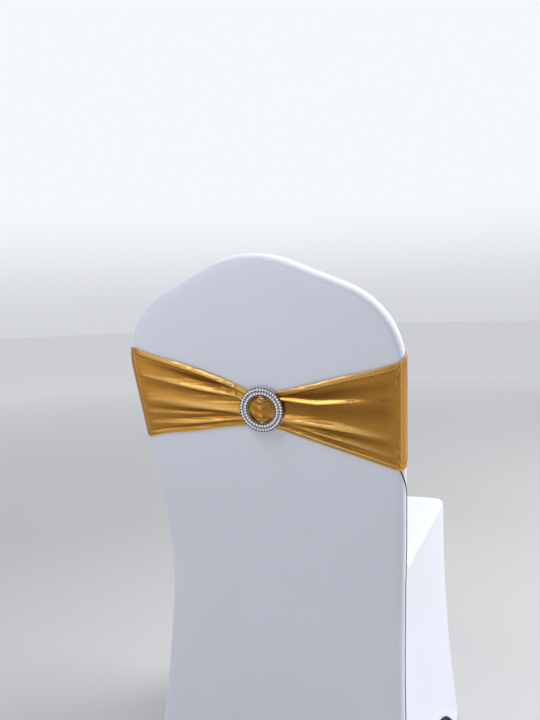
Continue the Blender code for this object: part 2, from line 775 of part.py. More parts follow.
def sash_point(kind, value, share):
    """World place and outward direction at one place of the band's outer face."""
    top, bottom = sash_edges(kind, value)
    down = top + (bottom - top) * share
    half = cover_half(-down)
    width = half - EDGE_RADIUS
    lift = SASH + SASH_CLEAR
    lean = math.radians(LEAN)
    out = (0.0, -math.cos(lean), -math.sin(lean))
    if kind == "rear":
        away = abs(value)
        far = max(0.0, (away - SASH_STRETCH) / (SASH_END - SASH_STRETCH))
        reach = away + far * (width - SASH_END)
        fall = edge_offset(reach - width)[1]
        across = math.copysign(reach, value) + RING_U * max(0.0, 1.0 - away / SHIFT_RUN)
        height = sash_height(value, share, top, bottom)
        return place_point(rear_profile, 1, across, down, fall - height), out
    if kind == "front":
        fall = edge_offset((abs(value) - 1.0) * width)[1]
        place = place_point(front_profile, -1, value * width, down, fall - lift)
        return place, tuple(-part for part in out)
    side = 1 if kind == "right" else -1
    row = (half, down, 1.0, 0.0)
    place, normal = edge_point(rear_profile, 1, row, value * EDGE_ARC, lift)
    return (side * place[0], place[1], place[2]), (side * normal[0], normal[1], normal[2])


def sash_band(skin):
    """The sash: one closed band round the back, gathered behind and flat in front."""
    stations = sash_stations()
    places, normals = [], []
    for kind, value in stations:
        for r in range(SASH_ROWS):
            place, normal = sash_point(kind, value, r / (SASH_ROWS - 1.0))
            places.append(place)
            normals.append(normal)
    count = len(stations)
    faces = []
    for i in range(count):
        ahead = (i + 1) % count
        for r in range(SASH_ROWS - 1):
            low, high = i * SASH_ROWS + r, ahead * SASH_ROWS + r
            faces.append((low, low + 1, high + 1))
            faces.append((low, high + 1, high))
    return thick_sheet("sash_band", places, normals, faces, SASH, skin)


def ring_frame():
    """Centre of the ring's back and its directions: across, up and off the cover."""
    lean = math.radians(LEAN)
    tilt = math.radians(LEAN - RING_TILT)
    y, z, _ = rear_profile(-RING_V)
    centre = (RING_U, y - RING_STAND * math.cos(lean), z - RING_STAND * math.sin(lean))
    up = (0.0, -math.sin(tilt), math.cos(tilt))
    off = (0.0, -math.cos(tilt), -math.sin(tilt))
    return centre, up, off


def buckle_ring(skin):
    """Round slider: a ring of rounded section with a thin bar across its window."""
    centre, up, off = ring_frame()
    middle = RING_RADIUS - RING_WIDTH / 2.0
    half = RING_WIDTH / 2.0
    points, faces = [], []

    def world(across, height, rise):
        """Place in the ring's own directions."""
        return tuple(centre[i] + (across if i == 0 else 0.0) + up[i] * height + off[i] * rise
                     for i in range(3))

    for k in range(RING_TURNS):
        angle = 2.0 * math.pi * k / RING_TURNS
        for out, rise in RING_SECTION:
            radius = middle + out * half
            points.append(world(radius * math.cos(angle), radius * math.sin(angle), rise))
    size = len(RING_SECTION)
    for k in range(RING_TURNS):
        ahead = (k + 1) % RING_TURNS
        for s in range(size):
            t = (s + 1) % size
            faces.append((k * size + s, ahead * size + s, ahead * size + t, k * size + t))
    mesh = bpy.data.meshes.new("buckle_ring")
    mesh.from_pydata(points, [], [tuple(reversed(face)) for face in faces])
    mesh.update()
    mesh.polygons.foreach_set("use_smooth", [True] * len(mesh.polygons))
    ring = bpy.data.objects.new("buckle_ring", mesh)
    bpy.context.collection.objects.link(ring)
    ring.data.materials.append(skin)

    length = RING_RADIUS - RING_WIDTH + BAR_ROOT
    corners = []
    for end in (-1, 1):
        for k in range(BAR_SIDES):
            angle = 2.0 * math.pi * (k + 0.5) / BAR_SIDES
            rise = BAR_BACK + BAR_THICK / 2.0 * (1.0 + math.sin(angle))
            corners.append(world(BAR_WIDTH / 2.0 * math.cos(angle), end * length, rise))
    walls = [tuple(range(BAR_SIDES)), tuple(reversed(range(BAR_SIDES, 2 * BAR_SIDES)))]
    for k in range(BAR_SIDES):
        t = (k + 1) % BAR_SIDES
        walls.append((k, BAR_SIDES + k, BAR_SIDES + t, t))
    bar_mesh = bpy.data.meshes.new("bar_cutter")
    bar_mesh.from_pydata(corners, [], walls)
    bar_mesh.update()
    bar = bpy.data.objects.new("bar_cutter", bar_mesh)
    bpy.context.collection.objects.link(bar)
    bar.hide_render = True
    bar.display_type = "WIRE"
    join = ring.modifiers.new("centre bar", "BOOLEAN")
    join.operation = "UNION"
    join.solver = "EXACT"
    join.object = bar
    return ring


def rear_outline():
    """Samples down the rear panel's right edge."""
    breaks = (
        (SEAM_TURN_START, SIDE_STEP), (SEAM_TURN_END, FINE_STEP), (KNEE, SIDE_STEP),
        (SEAM_BACK_END, 0.018),
    )
    return outline_samples(rear_profile, REAR_END, breaks)


def front_outline():
    """Samples down the front's right edge, over the seat and to the floor."""
    seat_end = KNEE + FRONT_WALK[1][0] + SEAT_RUN
    bend_end = seat_end + FRONT_WALK[3][0]
    breaks = (
        (SEAM_TURN_START, SIDE_STEP), (SEAM_TURN_END, FINE_STEP), (KNEE, SIDE_STEP),
        (CREASE - SEAM_GAP / 2.0, BEND_STEP), (CREASE + SEAM_GAP / 2.0, BEND_STEP),
        (KNEE + FRONT_WALK[1][0], BEND_STEP),
        (seat_end, 0.042), (bend_end, 0.0138),
    )
    return outline_samples(front_profile, FRONT_END, breaks)


def stand_on_floor():
    """Carry every piece on one empty, so that the floor under the cover's middle is the origin."""
    pieces = [thing for thing in bpy.data.objects if not thing.hide_render]
    points = [vertex.co for piece in pieces for vertex in piece.data.vertices]
    low = [min(point[i] for point in points) for i in range(3)]
    high = [max(point[i] for point in points) for i in range(3)]
    frame = bpy.data.objects.new("cover_frame", None)
    bpy.context.collection.objects.link(frame)
    frame.location = (-(low[0] + high[0]) / 2.0, -(low[1] + high[1]) / 2.0, -low[2])
    for thing in list(bpy.data.objects):
        if thing is not frame:
            thing.parent = frame


def main():
    """Build the cover's panels, the sash and its buckle."""
    clear_scene()
    cover = material("cover_cloth", COVER_COLOUR, COVER_ROUGHNESS, 0.0)
    foil = material("sash_foil", SASH_COLOUR, SASH_ROUGHNESS, 0.85)
    metal = material("buckle_metal", RING_COLOUR, RING_ROUGHNESS, 1.0)
    rear_rows = rear_outline()
    front_rows = front_outline()
    arcs = (-0.020, -0.008, 0.0, QUARTER / 3.0, 2.0 * QUARTER / 3.0, QUARTER)
    strip_panel(
        "rear_panel", rear_profile, 1, rear_rows, arcs, seam_arc, None, REAR_END, True, cover
    )
    wrap = arcs + (QUARTER + EDGE_FLAT, EDGE_ARC - 2.0 * QUARTER / 3.0)
    back_rows = [row for row in front_rows if -row[1] < CREASE]

    def wrap_seam(distance):
        """The inside back reaches round the edge to the rear panel, then to the side skirt."""
        return EDGE_ARC - seam_arc(distance) if distance < KNEE else QUARTER

    strip_panel(
        "inside_back", front_profile, -1, back_rows, wrap, wrap_seam, None,
        CREASE - SEAM_GAP / 2.0, False, cover
    )
    seat_rows = [row for row in front_rows if -row[1] > CREASE]

    def plain_seam(distance):
        """The seat and front end where the edge has turned a quarter."""
        return QUARTER

    strip_panel(
        "seat_and_front", front_profile, -1, seat_rows, arcs, plain_seam,
        CREASE + SEAM_GAP / 2.0, FRONT_END, True, cover
    )
    edge_rows = [row for row in front_rows if abs(row[1] + CREASE + SEAM_GAP / 2.0) > 1e-6]
    side_panel("side_skirt_left", -1, rear_rows, edge_rows, cover)
    side_panel("side_skirt_right", 1, rear_rows, edge_rows, cover)
    sash_band(foil)
    buckle_ring(metal)
    stand_on_floor()


main()
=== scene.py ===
"""Looks of a stretch chair cover with a gathered foil sash and a round slider buckle.

Laid out as an add-on. Run as a script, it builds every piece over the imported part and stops.
Metres, +Z up, the rear of the back towards -Y.
"""

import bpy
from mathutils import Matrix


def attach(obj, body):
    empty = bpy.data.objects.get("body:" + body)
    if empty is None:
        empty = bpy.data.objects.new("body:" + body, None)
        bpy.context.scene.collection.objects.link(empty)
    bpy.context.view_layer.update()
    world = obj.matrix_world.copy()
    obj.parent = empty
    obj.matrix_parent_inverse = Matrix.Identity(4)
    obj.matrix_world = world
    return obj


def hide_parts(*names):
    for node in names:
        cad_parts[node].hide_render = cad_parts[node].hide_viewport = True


bl_info = {
    "name": "Chair cover with sash",
    "version": (1, 0, 0),
    "blender": (4, 5, 0),
    "location": "View3D > Sidebar > Chair Cover",
    "description": "Stretch chair cover with a foil sash and a round slider buckle",
    "category": "Object",
}

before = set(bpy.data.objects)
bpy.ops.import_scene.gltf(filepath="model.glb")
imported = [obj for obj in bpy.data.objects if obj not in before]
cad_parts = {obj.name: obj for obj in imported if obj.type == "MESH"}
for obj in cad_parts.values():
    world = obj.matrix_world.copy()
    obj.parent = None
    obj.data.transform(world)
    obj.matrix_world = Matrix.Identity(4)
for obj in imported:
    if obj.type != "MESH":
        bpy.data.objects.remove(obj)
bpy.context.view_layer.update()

import math

import bpy
import numpy as np
from bpy.props import FloatProperty, FloatVectorProperty, IntProperty, PointerProperty
from mathutils import Matrix
from mathutils.geometry import delaunay_2d_cdt

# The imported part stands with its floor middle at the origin. This carries the cover's own
# measure, which starts at the peak of the back, into that frame.
SHIFT = np.array((0.0, -0.269519, 0.002075))

# Form of the cover, as in the solids.
LEAN = math.radians(13.25)
BACK_HALF = 0.210
BACK_TAPER = 0.050
BACK_DEPTH = 0.030
PEAK_Z = 0.934
SHOULDER_DROP = 0.0939
PEAK_RADIUS = 0.150
SHOULDER_RADIUS = 0.120
EDGE_RADIUS = 0.010
EDGE_FALL = 0.0012
FALL_WIDTH = 0.020
SEAT_Z = 0.455
CREASE_RADIUS = 0.030
SEAT_RUN = 0.330
SEAT_EDGE_RADIUS = 0.035
SEAT_CROWN = 0.008
SKIRT_TAPER = 0.6  # share of the back's taper that goes on under the seat
WAIST = 0.162
SEAT_FLARE = 0.014
FLARE_RUN = 0.36
PULL = 0.010
FOOT_WIDTH = 0.045
ARCH = 0.090
SEAM_GAP = 0.0002
CLOTH = 0.0013

# Round the edge of the back: a rounded quarter, a flat stretch and another quarter.
QUARTER = EDGE_RADIUS * math.pi / 2.0
EDGE_FLAT = BACK_DEPTH - 2.0 * (EDGE_RADIUS + EDGE_FALL)
EDGE_ARC = 2.0 * QUARTER + EDGE_FLAT
SIDE_DEPTH = EDGE_RADIUS + EDGE_FALL

# Rear outline from the side: length and turn in degrees of each stretch.
REAR_WALK = ((0.420, 0.0), (0.160, -25.25), (0.374, 0.0))

# Rear panel's side seams: distance down from the peak, and how far round the edge.
SEAM_LEAVES = 0.326  # they start to come round here
SEAM_ROUND = 0.374  # and lie on the sides from here
SEAM_SETTLES = 0.512
SEAM_TABLE = (
    (0.000, 0.0045), (SEAM_LEAVES, 0.0045), (SEAM_ROUND, 0.0233),
    (0.476, 0.0233), (SEAM_SETTLES, 0.0170), (2.000, 0.0170),
)

# Sash: distance from the middle, top edge and bottom edge, both down from the peak.
SASH_EDGES = (
    (-0.1900, -0.1420, -0.2860), (-0.1600, -0.1536, -0.2793), (-0.1200, -0.1655, -0.2748),
    (-0.0800, -0.1793, -0.2686), (-0.0400, -0.1965, -0.2629), (-0.0240, -0.2050, -0.2615),
    (-0.0165, -0.2110, -0.2575), (-0.0100, -0.2128, -0.2552), (-0.0048, -0.2131, -0.2549),
    (-0.0024, -0.2150, -0.2530), (0.0024, -0.2150, -0.2530), (0.0048, -0.2131, -0.2549),
    (0.0100, -0.2128, -0.2552), (0.0165, -0.2110, -0.2590), (0.0240, -0.2080, -0.2665),
    (0.0400, -0.2050, -0.2729),
    (0.0800, -0.1957, -0.2864), (0.1200, -0.1857, -0.3000), (0.1600, -0.1764, -0.3136),
    (0.1900, -0.1668, -0.3240),
)
SASH_END = 0.190
SASH_STRETCH = 0.150  # past this far from the middle the places keep pace with the cover's edge

# Sash edges round the sides of the back: share of the way round, top edge and bottom edge.
SASH_LEFT = ((0.00, -0.1420, -0.2860), (1.00, -0.1460, -0.2900))
SASH_RIGHT = (
    (0.00, -0.1668, -0.3240), (0.15, -0.1640, -0.3250), (0.40, -0.1590, -0.3215),
    (0.60, -0.1575, -0.3150), (1.00, -0.1560, -0.3120),
)
SASH = 0.0010
SASH_REST = 0.0016  # height of the sash's outer face over the cover where it lies flat

# Folds: side, place across at side, middle and ring, height there, width above and below.
FOLDS = (
    (-1, (0.030, 0.050, 0.080), (0.0008, 0.0021, 0.0016), 0.0060, 0.0045),
    (-1, (0.105, 0.146, 0.140), (-0.0008, -0.0026, -0.0014), 0.0034, 0.0060),
    (-1, (0.290, 0.322, 0.260), (0.0010, 0.0025, 0.0018), 0.0060, 0.0028),
    (-1, (0.345, 0.385, 0.350), (-0.0010, -0.0014, -0.0005), 0.0034, 0.0080),
    (-1, (0.570, 0.615, 0.650), (0.0006, 0.0020, 0.0026), 0.0110, 0.0060),
    (-1, (0.650, 0.695, 0.730), (-0.0010, -0.0024, -0.0022), 0.0036, 0.0040),
    (-1, (0.720, 0.738, 0.750), (0.0006, 0.0010, 0.0006), 0.0034, 0.0034),
    (-1, (0.790, 0.782, 0.775), (-0.0006, -0.0016, -0.0014), 0.0040, 0.0040),
    (-1, (0.860, 0.872, 0.830), (0.0006, 0.0019, 0.0018), 0.0056, 0.0026),
    (-1, (0.915, 0.925, 0.890), (-0.0004, -0.0012, -0.0010), 0.0036, 0.0036),
    (-1, (0.975, 0.975, 0.960), (0.0003, 0.0005, 0.0004), 0.0036, 0.0036),
    (1, (0.020, 0.032, 0.060), (0.0008, 0.0019, 0.0014), 0.0050, 0.0042),
    (1, (0.180, 0.190, 0.130), (-0.0007, -0.0017, -0.0016), 0.0070, 0.0110),
    (1, (0.322, 0.330, 0.215), (-0.0006, 0.0042, 0.0026), 0.0034, 0.0028),
    (1, (0.450, 0.440, 0.360), (-0.0010, -0.0012, -0.0010), 0.0160, 0.0150),
    (1, (0.695, 0.684, 0.690), (0.0006, 0.0042, 0.0030), 0.0064, 0.0044),
    (1, (0.765, 0.760, 0.745), (-0.0009, -0.0019, -0.0018), 0.0060, 0.0054),
    (1, (0.868, 0.840, 0.785), (0.0007, 0.0019, 0.0015), 0.0052, 0.0034),
    (1, (0.905, 0.882, 0.835), (-0.0004, -0.0016, -0.0014), 0.0030, 0.0034),
    (1, (0.950, 0.935, 0.890), (0.0008, 0.0020, 0.0014), 0.0044, 0.0040),
)
FOLD_SIDE, FOLD_MIDDLE, FOLD_RING = 0.172, 0.090, 0.030
FOLD_DEEP = 0.0022  # folds this deep get the darkest painted shade, ridges this high the brightest painted highlight
PAINTED_HEM_HIGHLIGHT = 0.32  # painted highlight on the doubled edge of the band
PAINTED_HEM_SHADE = 0.16  # and painted shade along the line where it is folded in
PAINTED_TURN_HIGHLIGHT = 0.34  # painted highlight where the band turns round the right side of the back
TURN_PLACE = 0.0056
TURN_WIDTH = 0.0013
TURN_EASE = 0.0020
PAINTED_SIDE_LIGHT = 0.12  # painted light on the foil past that line, where it faces the light
# painted light, a little brighter than the flat foil, over the band's front and left side
PAINTED_FRONT_LIGHT = 0.62
# Painted highlight and shade along the edges: distance from the edge, width, how much lighter.
PAINTED_HEM_LIGHT_AND_SHADE = (
    (0.0, 0.0018, PAINTED_HEM_HIGHLIGHT), (0.0066, 0.0011, 0.8 * PAINTED_HEM_HIGHLIGHT), (0.0090, 0.0016, -PAINTED_HEM_SHADE),
)

# Buckle: its middle across and down the rear outline, its tilt and how far it stands off.
RING_U = 0.0012
RING_V = -0.2340
RING_TILT = math.radians(6.0)
RING_STAND = 0.0070
BAR_THICK = 0.0014
RING_RADIUS = 0.0332
RING_WIDTH = 0.0128
BAR_WIDTH = 0.0030

# Fineness of the cloth panels.
SEAM_DIP = 0.00035  # the cloth sinks into its seams by this much
SEAM_WIDTH = 0.0034
HEM_WIDTH = 0.012  # folded hem of the cover
HEM_RISE = 0.0005
HEM_POWER = 2.6
NEAR_SEAM = (0.0007, 0.0018, 0.0034)
NEAR_HEM = (0.0020, 0.0065, 0.0112, 0.0126)
EDGE_CLEAR = 0.0045  # lines along the edge stop this far before a seam
HEM_CORNER = 0.0035  # a hem's rows start this far from the seam
HEM_CLEAR = 0.0040  # other lines keep this far above a hem and away from its corners
LEAN_STEP = 0.004  # half of the run over which the outline's lean is measured
ROW_STEP = 0.87  # lines of the lattice lie this share of its spacing apart
LATTICE_CLEAR = 0.6  # and keep this share of it away from hems and ends
LATTICE_REACH = 1.1  # columns reach this share of the back's half width

# Soft creases where the cover is pulled: panel, place across and down its flat cut, turn in
# degrees, half length, half width and height.
CREASES = (
    ("rear_panel", 0.012, -0.0385, 78.0, 0.006, 0.0040, -0.0006),
    ("rear_panel", -0.140, -0.800, 72.0, 0.120, 0.012, 0.0013),
    ("rear_panel", -0.168, -0.700, 80.0, 0.090, 0.010, -0.0008),
    ("rear_panel", 0.150, -0.790, 106.0, 0.130, 0.013, 0.0012),
    ("rear_panel", 0.120, -0.640, 96.0, 0.080, 0.016, -0.0009),
    ("rear_panel", 0.020, -0.820, 4.0, 0.110, 0.020, -0.0010),
    ("inside_back", -0.120, -0.430, 52.0, 0.070, 0.012, 0.0012),
    ("inside_back", 0.128, -0.440, 124.0, 0.060, 0.014, 0.0011),
    ("inside_back", 0.060, -0.400, 96.0, 0.080, 0.018, -0.0008),
    ("seat_and_front", -0.150, -0.590, -48.0, 0.070, 0.012, 0.0012),
    ("seat_and_front", 0.142, -0.600, 44.0, 0.080, 0.014, 0.0013),
    ("seat_and_front", -0.060, -0.570, 8.0, 0.090, 0.013, -0.0009),
    ("seat_and_front", 0.070, -0.620, -6.0, 0.080, 0.018, 0.0008),
    ("seat_and_front", -0.150, -1.130, 76.0, 0.130, 0.012, 0.0013),
    ("seat_and_front", 0.160, -1.120, 102.0, 0.120, 0.013, 0.0012),
    ("seat_and_front", 0.080, -1.020, 94.0, 0.090, 0.018, -0.0010),
)

# Fine ripples of the sash where it is gathered: wave length, phase, drift along it, height.
RIPPLES = (
    (0.0061, 0.4, 21.0, 0.00010),
    (0.0047, 2.1, -33.0, 0.00006),
    (0.0083, 4.0, 14.0, 0.00014),
    (0.0034, 5.2, 47.0, 0.00003),
)
RIPPLE_START, RIPPLE_REACH = 0.030, 0.075
RIPPLE_FAR = 0.25  # share of their height that is left far from the ring
RIPPLE_SPREAD = 0.25  # how fast they spread away from it
SASH_ROWS = 130
ROWS_TO_EDGES = 0.40  # how much denser the rows lie towards the edges
FOLD_END = 0.022  # folds and ripples die out over this run at the sides
FOLD_START = 0.006  # and come up from here beside the bar
FOLD_RISE = 0.020
GATHER_NEAR, GATHER_RUN = 0.022, 0.150  # gathered up to here, open after this run
GATHER_LIFT, GATHER_BELLY = 0.0004, 0.0026
BEHIND_RING = 0.0008  # the band's face stays this far behind the ring's back
RING_NEAR, RING_PAST = 0.036, 0.042  # that limit rises from the first, ends at the second
LIFT_NEAR, LIFT_RUN = 0.019, 0.011  # nearer than this it is lifted there, eased over a run
WINDOW_GAP = 0.0004
WINDOW_EASE = 0.0030
TENT_ROUND, TENT_RUN = 0.0030, 0.0160  # round top and reach of the band over the bar
BAR_NEAR, BAR_EASE = 0.0018, 0.0030
CREST, CREST_BELLY = 0.0010, 0.0010  # height of its face over the bar
# Folds inside the ring's window: wave length, slant, phase, height.
WINDOW_FOLDS = ((0.0115, 0.20, 0.9, 0.00065), (0.0052, -0.15, 2.2, 0.00010))
# Stations round the band: spacing near the ring, how many, spacing past them, and the rest.
NEAR_STATION, NEAR_STATIONS = 0.0012, 32
FAR_STATION = 0.0019
TURN_STATIONS = 12
FRONT_STATIONS, FRONT_SHARE = 36, 0.94
SASH_HEM = 0.0075
SASH_HEM_RISE = 0.0003
SASH_HEM_EASE = 0.0012
RING_PULL = 0.10  # the band is shifted with the ring up to this far from the middle

# Soft creases of the side skirts: place along and up, turn in degrees, half length, half
# width and height.
SKIRT_CREASES = (
    (0.120, 0.180, 76.0, 0.110, 0.013, 0.0012),
    (0.430, 0.170, 104.0, 0.120, 0.014, 0.0013),
    (0.180, 0.400, -28.0, 0.080, 0.012, 0.0009),
    (0.300, 0.300, 4.0, 0.120, 0.022, -0.0010),
)
RIGHT_CREASE = 0.72  # the right skirt creases by this share of the left one
SKIRT_TOP = 0.5  # the skirts' lattice ends at this height
SKIRT_BLEND = 0.080  # over this run a skirt leaves the rear panel's edge
TIP_CUT = 6.0  # the tip is set back by this many half gaps
TIP_REACH = 0.040  # the skirt's tip runs up this far between rear panel and inside back
HEM_STITCH = 0.0105
HEM_STITCH_POINTS = 90
SEAM_START = 0.310  # the right seam's painted shadow shows from here, under the sash
SEAM_STITCH_STEP = 0.008
HIDDEN_BY_RING = 0.034
FINE_STITCH_SHARE = 0.78  # length of a hem's stitch, as a share of its pitch
FINE_STITCH_THICK = 0.00042
CLOSE_STITCH = 0.0024
CLOSE_STITCH_THICK = 0.0020
CLOSE_PITCH = 0.0020
STITCH_SIDES = 6
SASH_STITCH_LIFT = 0.00012  # stitches stand this far off the cloth
HEM_STITCH_LIFT = 0.0001
SEAM_STITCH_LIFT = -0.00005
# One stitch: place as a share of its half length, width and rise of its half thickness.
STITCH_SECTION = ((-1.0, 0.45, -0.6), (-0.6, 1.0, 0.1), (0.6, 1.0, 0.1), (1.0, 0.45, -0.6))
GOLD_THREAD = (0.56, 0.33, 0.09)
WHITE_THREAD = (0.74, 0.76, 0.81)
# painted shadow: near-black stitches along the side seams stand in for the shade in the seam's gap
PAINTED_SEAM_SHADOW = (0.055, 0.055, 0.075)

# Section of the ring: place across its band from inner edge -1 to outer edge 1, and height.
RING_SECTION = (
    (-0.84, 0.0), (0.84, 0.0), (0.96, 0.0003), (1.0, 0.0010), (1.0, 0.0022), (0.96, 0.0030),
    (0.88, 0.0032), (0.82, 0.0022), (0.10, 0.0022), (0.05, 0.0030), (-0.05, 0.0030),
    (-0.10, 0.0022), (-0.82, 0.0022), (-0.88, 0.0032), (-0.96, 0.0030), (-1.0, 0.0022),
    (-1.0, 0.0010), (-0.96, 0.0003),
)
RING_CHANNELS = (5, 6, 7, 8, 10, 11, 12, 13)  # sides of the section that get the painted shadow of the stone channels
RING_TURNS = 120
BAR_SIDES = 16
BAR_SUNK = 0.0015  # the bar's ends go this far into the ring
BAR_BACK = 0.0003  # its back lies this far off the ring's back
OUTER_ROW = 0.0300
INNER_ROW = 0.0243
STONE_RISE = 0.0031
# A cut stone: radius as a share of its own, and height. A bead: radius and height.
STONE_SECTION = ((0.86, -0.0006), (1.0, 0.0), (0.96, 0.0004), (0.70, 0.0010))
STONE_SIDES = 8
BEAD_SECTION = ((0.00050, -0.0004), (0.00062, 0.0002), (0.00040, 0.0006))
BEAD_SIDES = 6
BEAD_INSET = 0.0005  # rim beads stand this far inside the ring's edges
BEAD_RISE = 0.0034
MIDDLE_BEAD_RISE = 0.0036
FEWER_BEADS = 4  # the middle row has this many fewer than the outer one
CIRCLE_POINTS = 180

# Flat cuts: width, length and area in square metres.
FLAT_CUTS = {
    "rear_panel": (0.44, 0.98, 0.342),
    "inside_back": (0.46, 0.52, 0.200),
    "seat_and_front": (0.48, 0.84, 0.323),
    "side_skirt_left": (0.50, 0.48, 0.172),
    "side_skirt_right": (0.50, 0.48, 0.172),
}

# Finishes.
COVER_STITCH = 0.0012  # size of the cover's knit
FOIL_STITCH = 0.0015
SPECK_GOLD = (1.0, 0.66, 0.26, 1.0)
# painted shade deep between the sash's folds and painted highlight along their ridges, mixed into
# the foil's colour
PAINTED_FOLD_SHADE = (0.30, 0.21, 0.12, 1.0)
PAINTED_RIDGE_HIGHLIGHT = (1.0, 0.62, 0.20, 1.0)
PLAIN = (1.0, 1.0, 1.0, 1.0)

# Stage.
FLOOR_COLOUR = (0.57, 0.57, 0.58)
FAR_FLOOR = (0.985, 0.985, 0.985)
FLOOR_DROP = 0.0008
FLOOR_STEP, FLOOR_RINGS, FLOOR_TURNS = 0.5, 40, 96
PALER_FROM, PALER_TO = 1.6, 6.0  # the floor grows paler between these distances
ROOM_BEHIND = (0.92, 0.94, 0.97)  # the bright side, which the camera looks towards
ROOM_FRONT = (0.20, 0.205, 0.215)  # the dim side behind the camera
ROOM_HORIZON = 0.72  # brightness where it meets the floor, as a share
ROOM_LIGHT = 1.0
LIGHTS = (
    # name, place, aim, size, power, colour
    ("window", (2.4, 1.2, 2.0), (0.0, 0.0, 0.7), (1.8, 1.8), 68.0, (1.0, 0.98, 0.95)),
    ("softbox", (-0.85, -2.35, 0.92), (0.0, -0.22, 0.72), (1.9, 0.5), 8.0, (1.0, 0.97, 0.92)),
    ("rim", (0.5, 0.5, 2.1), (0.0, -0.25, 0.92), (0.8, 0.4), 7.0, (1.0, 0.99, 0.97)),
    ("card", (-1.0, -1.35, 0.10), (-0.12, -0.22, 0.72), (0.7, 0.5), 0.9, (1.0, 0.97, 0.92)),
    ("above", (-0.25, -0.95, 1.65), (0.0, -0.25, 0.98), (0.6, 0.6), 5.5, (0.97, 0.98, 1.0)),
)
SENSOR = 36.0
LENS = 33.967
CAMERA_PLACE = (0.3458, -1.1209, 0.8627)
CAMERA_TURN = math.radians(20.13)
CAMERA_PITCH = math.radians(5.084)
CAMERA_ROLL = math.radians(-2.0)


def smooth(value):
    """Ease from 0 to 1 with level ends."""
    value = np.clip(value, 0.0, 1.0)
    return value * value * (3.0 - 2.0 * value)


class SmoothTable:
    """Smooth reading of a column against a rising key, with no overshoot between rows."""

    def __init__(self, keys, values):
        self.keys = np.array(keys, float)
        self.values = np.array(values, float)
        run = np.diff(self.keys)
        rise = np.diff(self.values) / run
        slopes = np.zeros(len(self.keys))
        slopes[0], slopes[-1] = rise[0], rise[-1]
        both = rise[:-1] * rise[1:] > 0.0
        safe = np.where(both, rise[:-1] + rise[1:], 1.0)
        slopes[1:-1] = np.where(both, 2.0 * rise[:-1] * rise[1:] / safe, 0.0)
        self.slopes = slopes

    def __call__(self, place):
        """Value at a place, or at each of several."""
        place = np.clip(place, self.keys[0], self.keys[-1])
        k = np.clip(np.searchsorted(self.keys, place, "right") - 1, 0, len(self.keys) - 2)
        span = self.keys[k + 1] - self.keys[k]
        t = (place - self.keys[k]) / span
        rise = self.values[k + 1] - self.values[k]
        low, high = self.slopes[k] * span, self.slopes[k + 1] * span
        curve = (low + high - 2.0 * rise) * t + (3.0 * rise - 2.0 * low - high)
        return self.values[k] + t * (low + t * curve)


SASH_KEYS = [row[0] for row in SASH_EDGES]
SASH_TOP = SmoothTable(SASH_KEYS, [row[1] for row in SASH_EDGES])
SASH_BOTTOM = SmoothTable(SASH_KEYS, [row[2] for row in SASH_EDGES])
SLOPE = math.atan2(SHOULDER_DROP, BACK_HALF)
SIDE_TURN = math.pi / 2.0 + math.atan(BACK_TAPER)
SLOPE_LENGTH = math.hypot(BACK_HALF, SHOULDER_DROP)
SHOULDER_CUT = SHOULDER_RADIUS * math.tan((SIDE_TURN - SLOPE) / 2.0)
SHOULDER_REACH = SLOPE_LENGTH - SHOULDER_CUT
SHOULDER_ACROSS = SHOULDER_REACH * math.cos(SLOPE) - SHOULDER_RADIUS * math.sin(SLOPE)
SHOULDER_DOWN = SHOULDER_REACH * math.sin(SLOPE) + SHOULDER_RADIUS * math.cos(SLOPE)


def walk(start, heading, segments, distance):
    """Point and heading after a distance along straight runs and arcs."""
    along, down = start
    last = len(segments) - 1
    for number, (length, turn) in enumerate(segments):
        step = distance if number == last else min(distance, length)
        bend = math.radians(turn) / length
        if abs(bend) < 1e-9:
            along += step * math.sin(heading)
            down -= step * math.cos(heading)
        else:
            along += (math.cos(heading) - math.cos(heading + bend * step)) / bend
            down -= (math.sin(heading + bend * step) - math.sin(heading)) / bend
            heading += bend * step
        distance -= step
        if distance <= 0.0:
            break
    return along, down, heading


def front_walk():
    """Front outline from the side, from the peak down to the floor."""
    top = PEAK_Z + BACK_DEPTH * math.sin(LEAN)
    run = (top - SEAT_Z - CREASE_RADIUS * (1.0 - math.sin(LEAN))) / math.cos(LEAN)
    turn = math.pi / 2.0 - LEAN
    return (
        (run, 0.0),
        (CREASE_RADIUS * turn, math.degrees(turn)),
        (SEAT_RUN, 0.0),
        (SEAT_EDGE_RADIUS * math.pi / 2.0, -90.0),
        (SEAT_Z - SEAT_EDGE_RADIUS, 0.0),
    )


FRONT_WALK = front_walk()
KNEE = FRONT_WALK[0][0]
CREASE = KNEE + FRONT_WALK[1][0] / 2.0
REAR_END = sum(row[0] for row in REAR_WALK)
FRONT_END = sum(row[0] for row in FRONT_WALK)
REAR_MARKS = (SEAM_LEAVES, SEAM_ROUND, KNEE, SEAM_SETTLES)


def rear_profile(distance):
    """Rear outline of the cover: y, z and heading at a distance down from the peak."""
    return walk((0.0, PEAK_Z), LEAN, REAR_WALK, distance)


def front_profile(distance):
    """Front outline of the cover: y, z and heading at a distance down from the peak."""
    start = (BACK_DEPTH * math.cos(LEAN), PEAK_Z + BACK_DEPTH * math.sin(LEAN))
    return walk(start, LEAN, FRONT_WALK, distance)


def skirt_half(y, z, profile):
    """Half width of the cover under the seat, at a place seen from the side."""
    knee_y, knee_z, _ = profile(KNEE)
    low = BACK_HALF - BACK_TAPER * (KNEE - SHOULDER_DROP)
    drop = max(0.0, knee_z - z)
    flare = SEAT_FLARE * float(smooth((y - knee_y) / FLARE_RUN))
    return low - BACK_TAPER * SKIRT_TAPER * drop + WAIST * drop * drop + flare


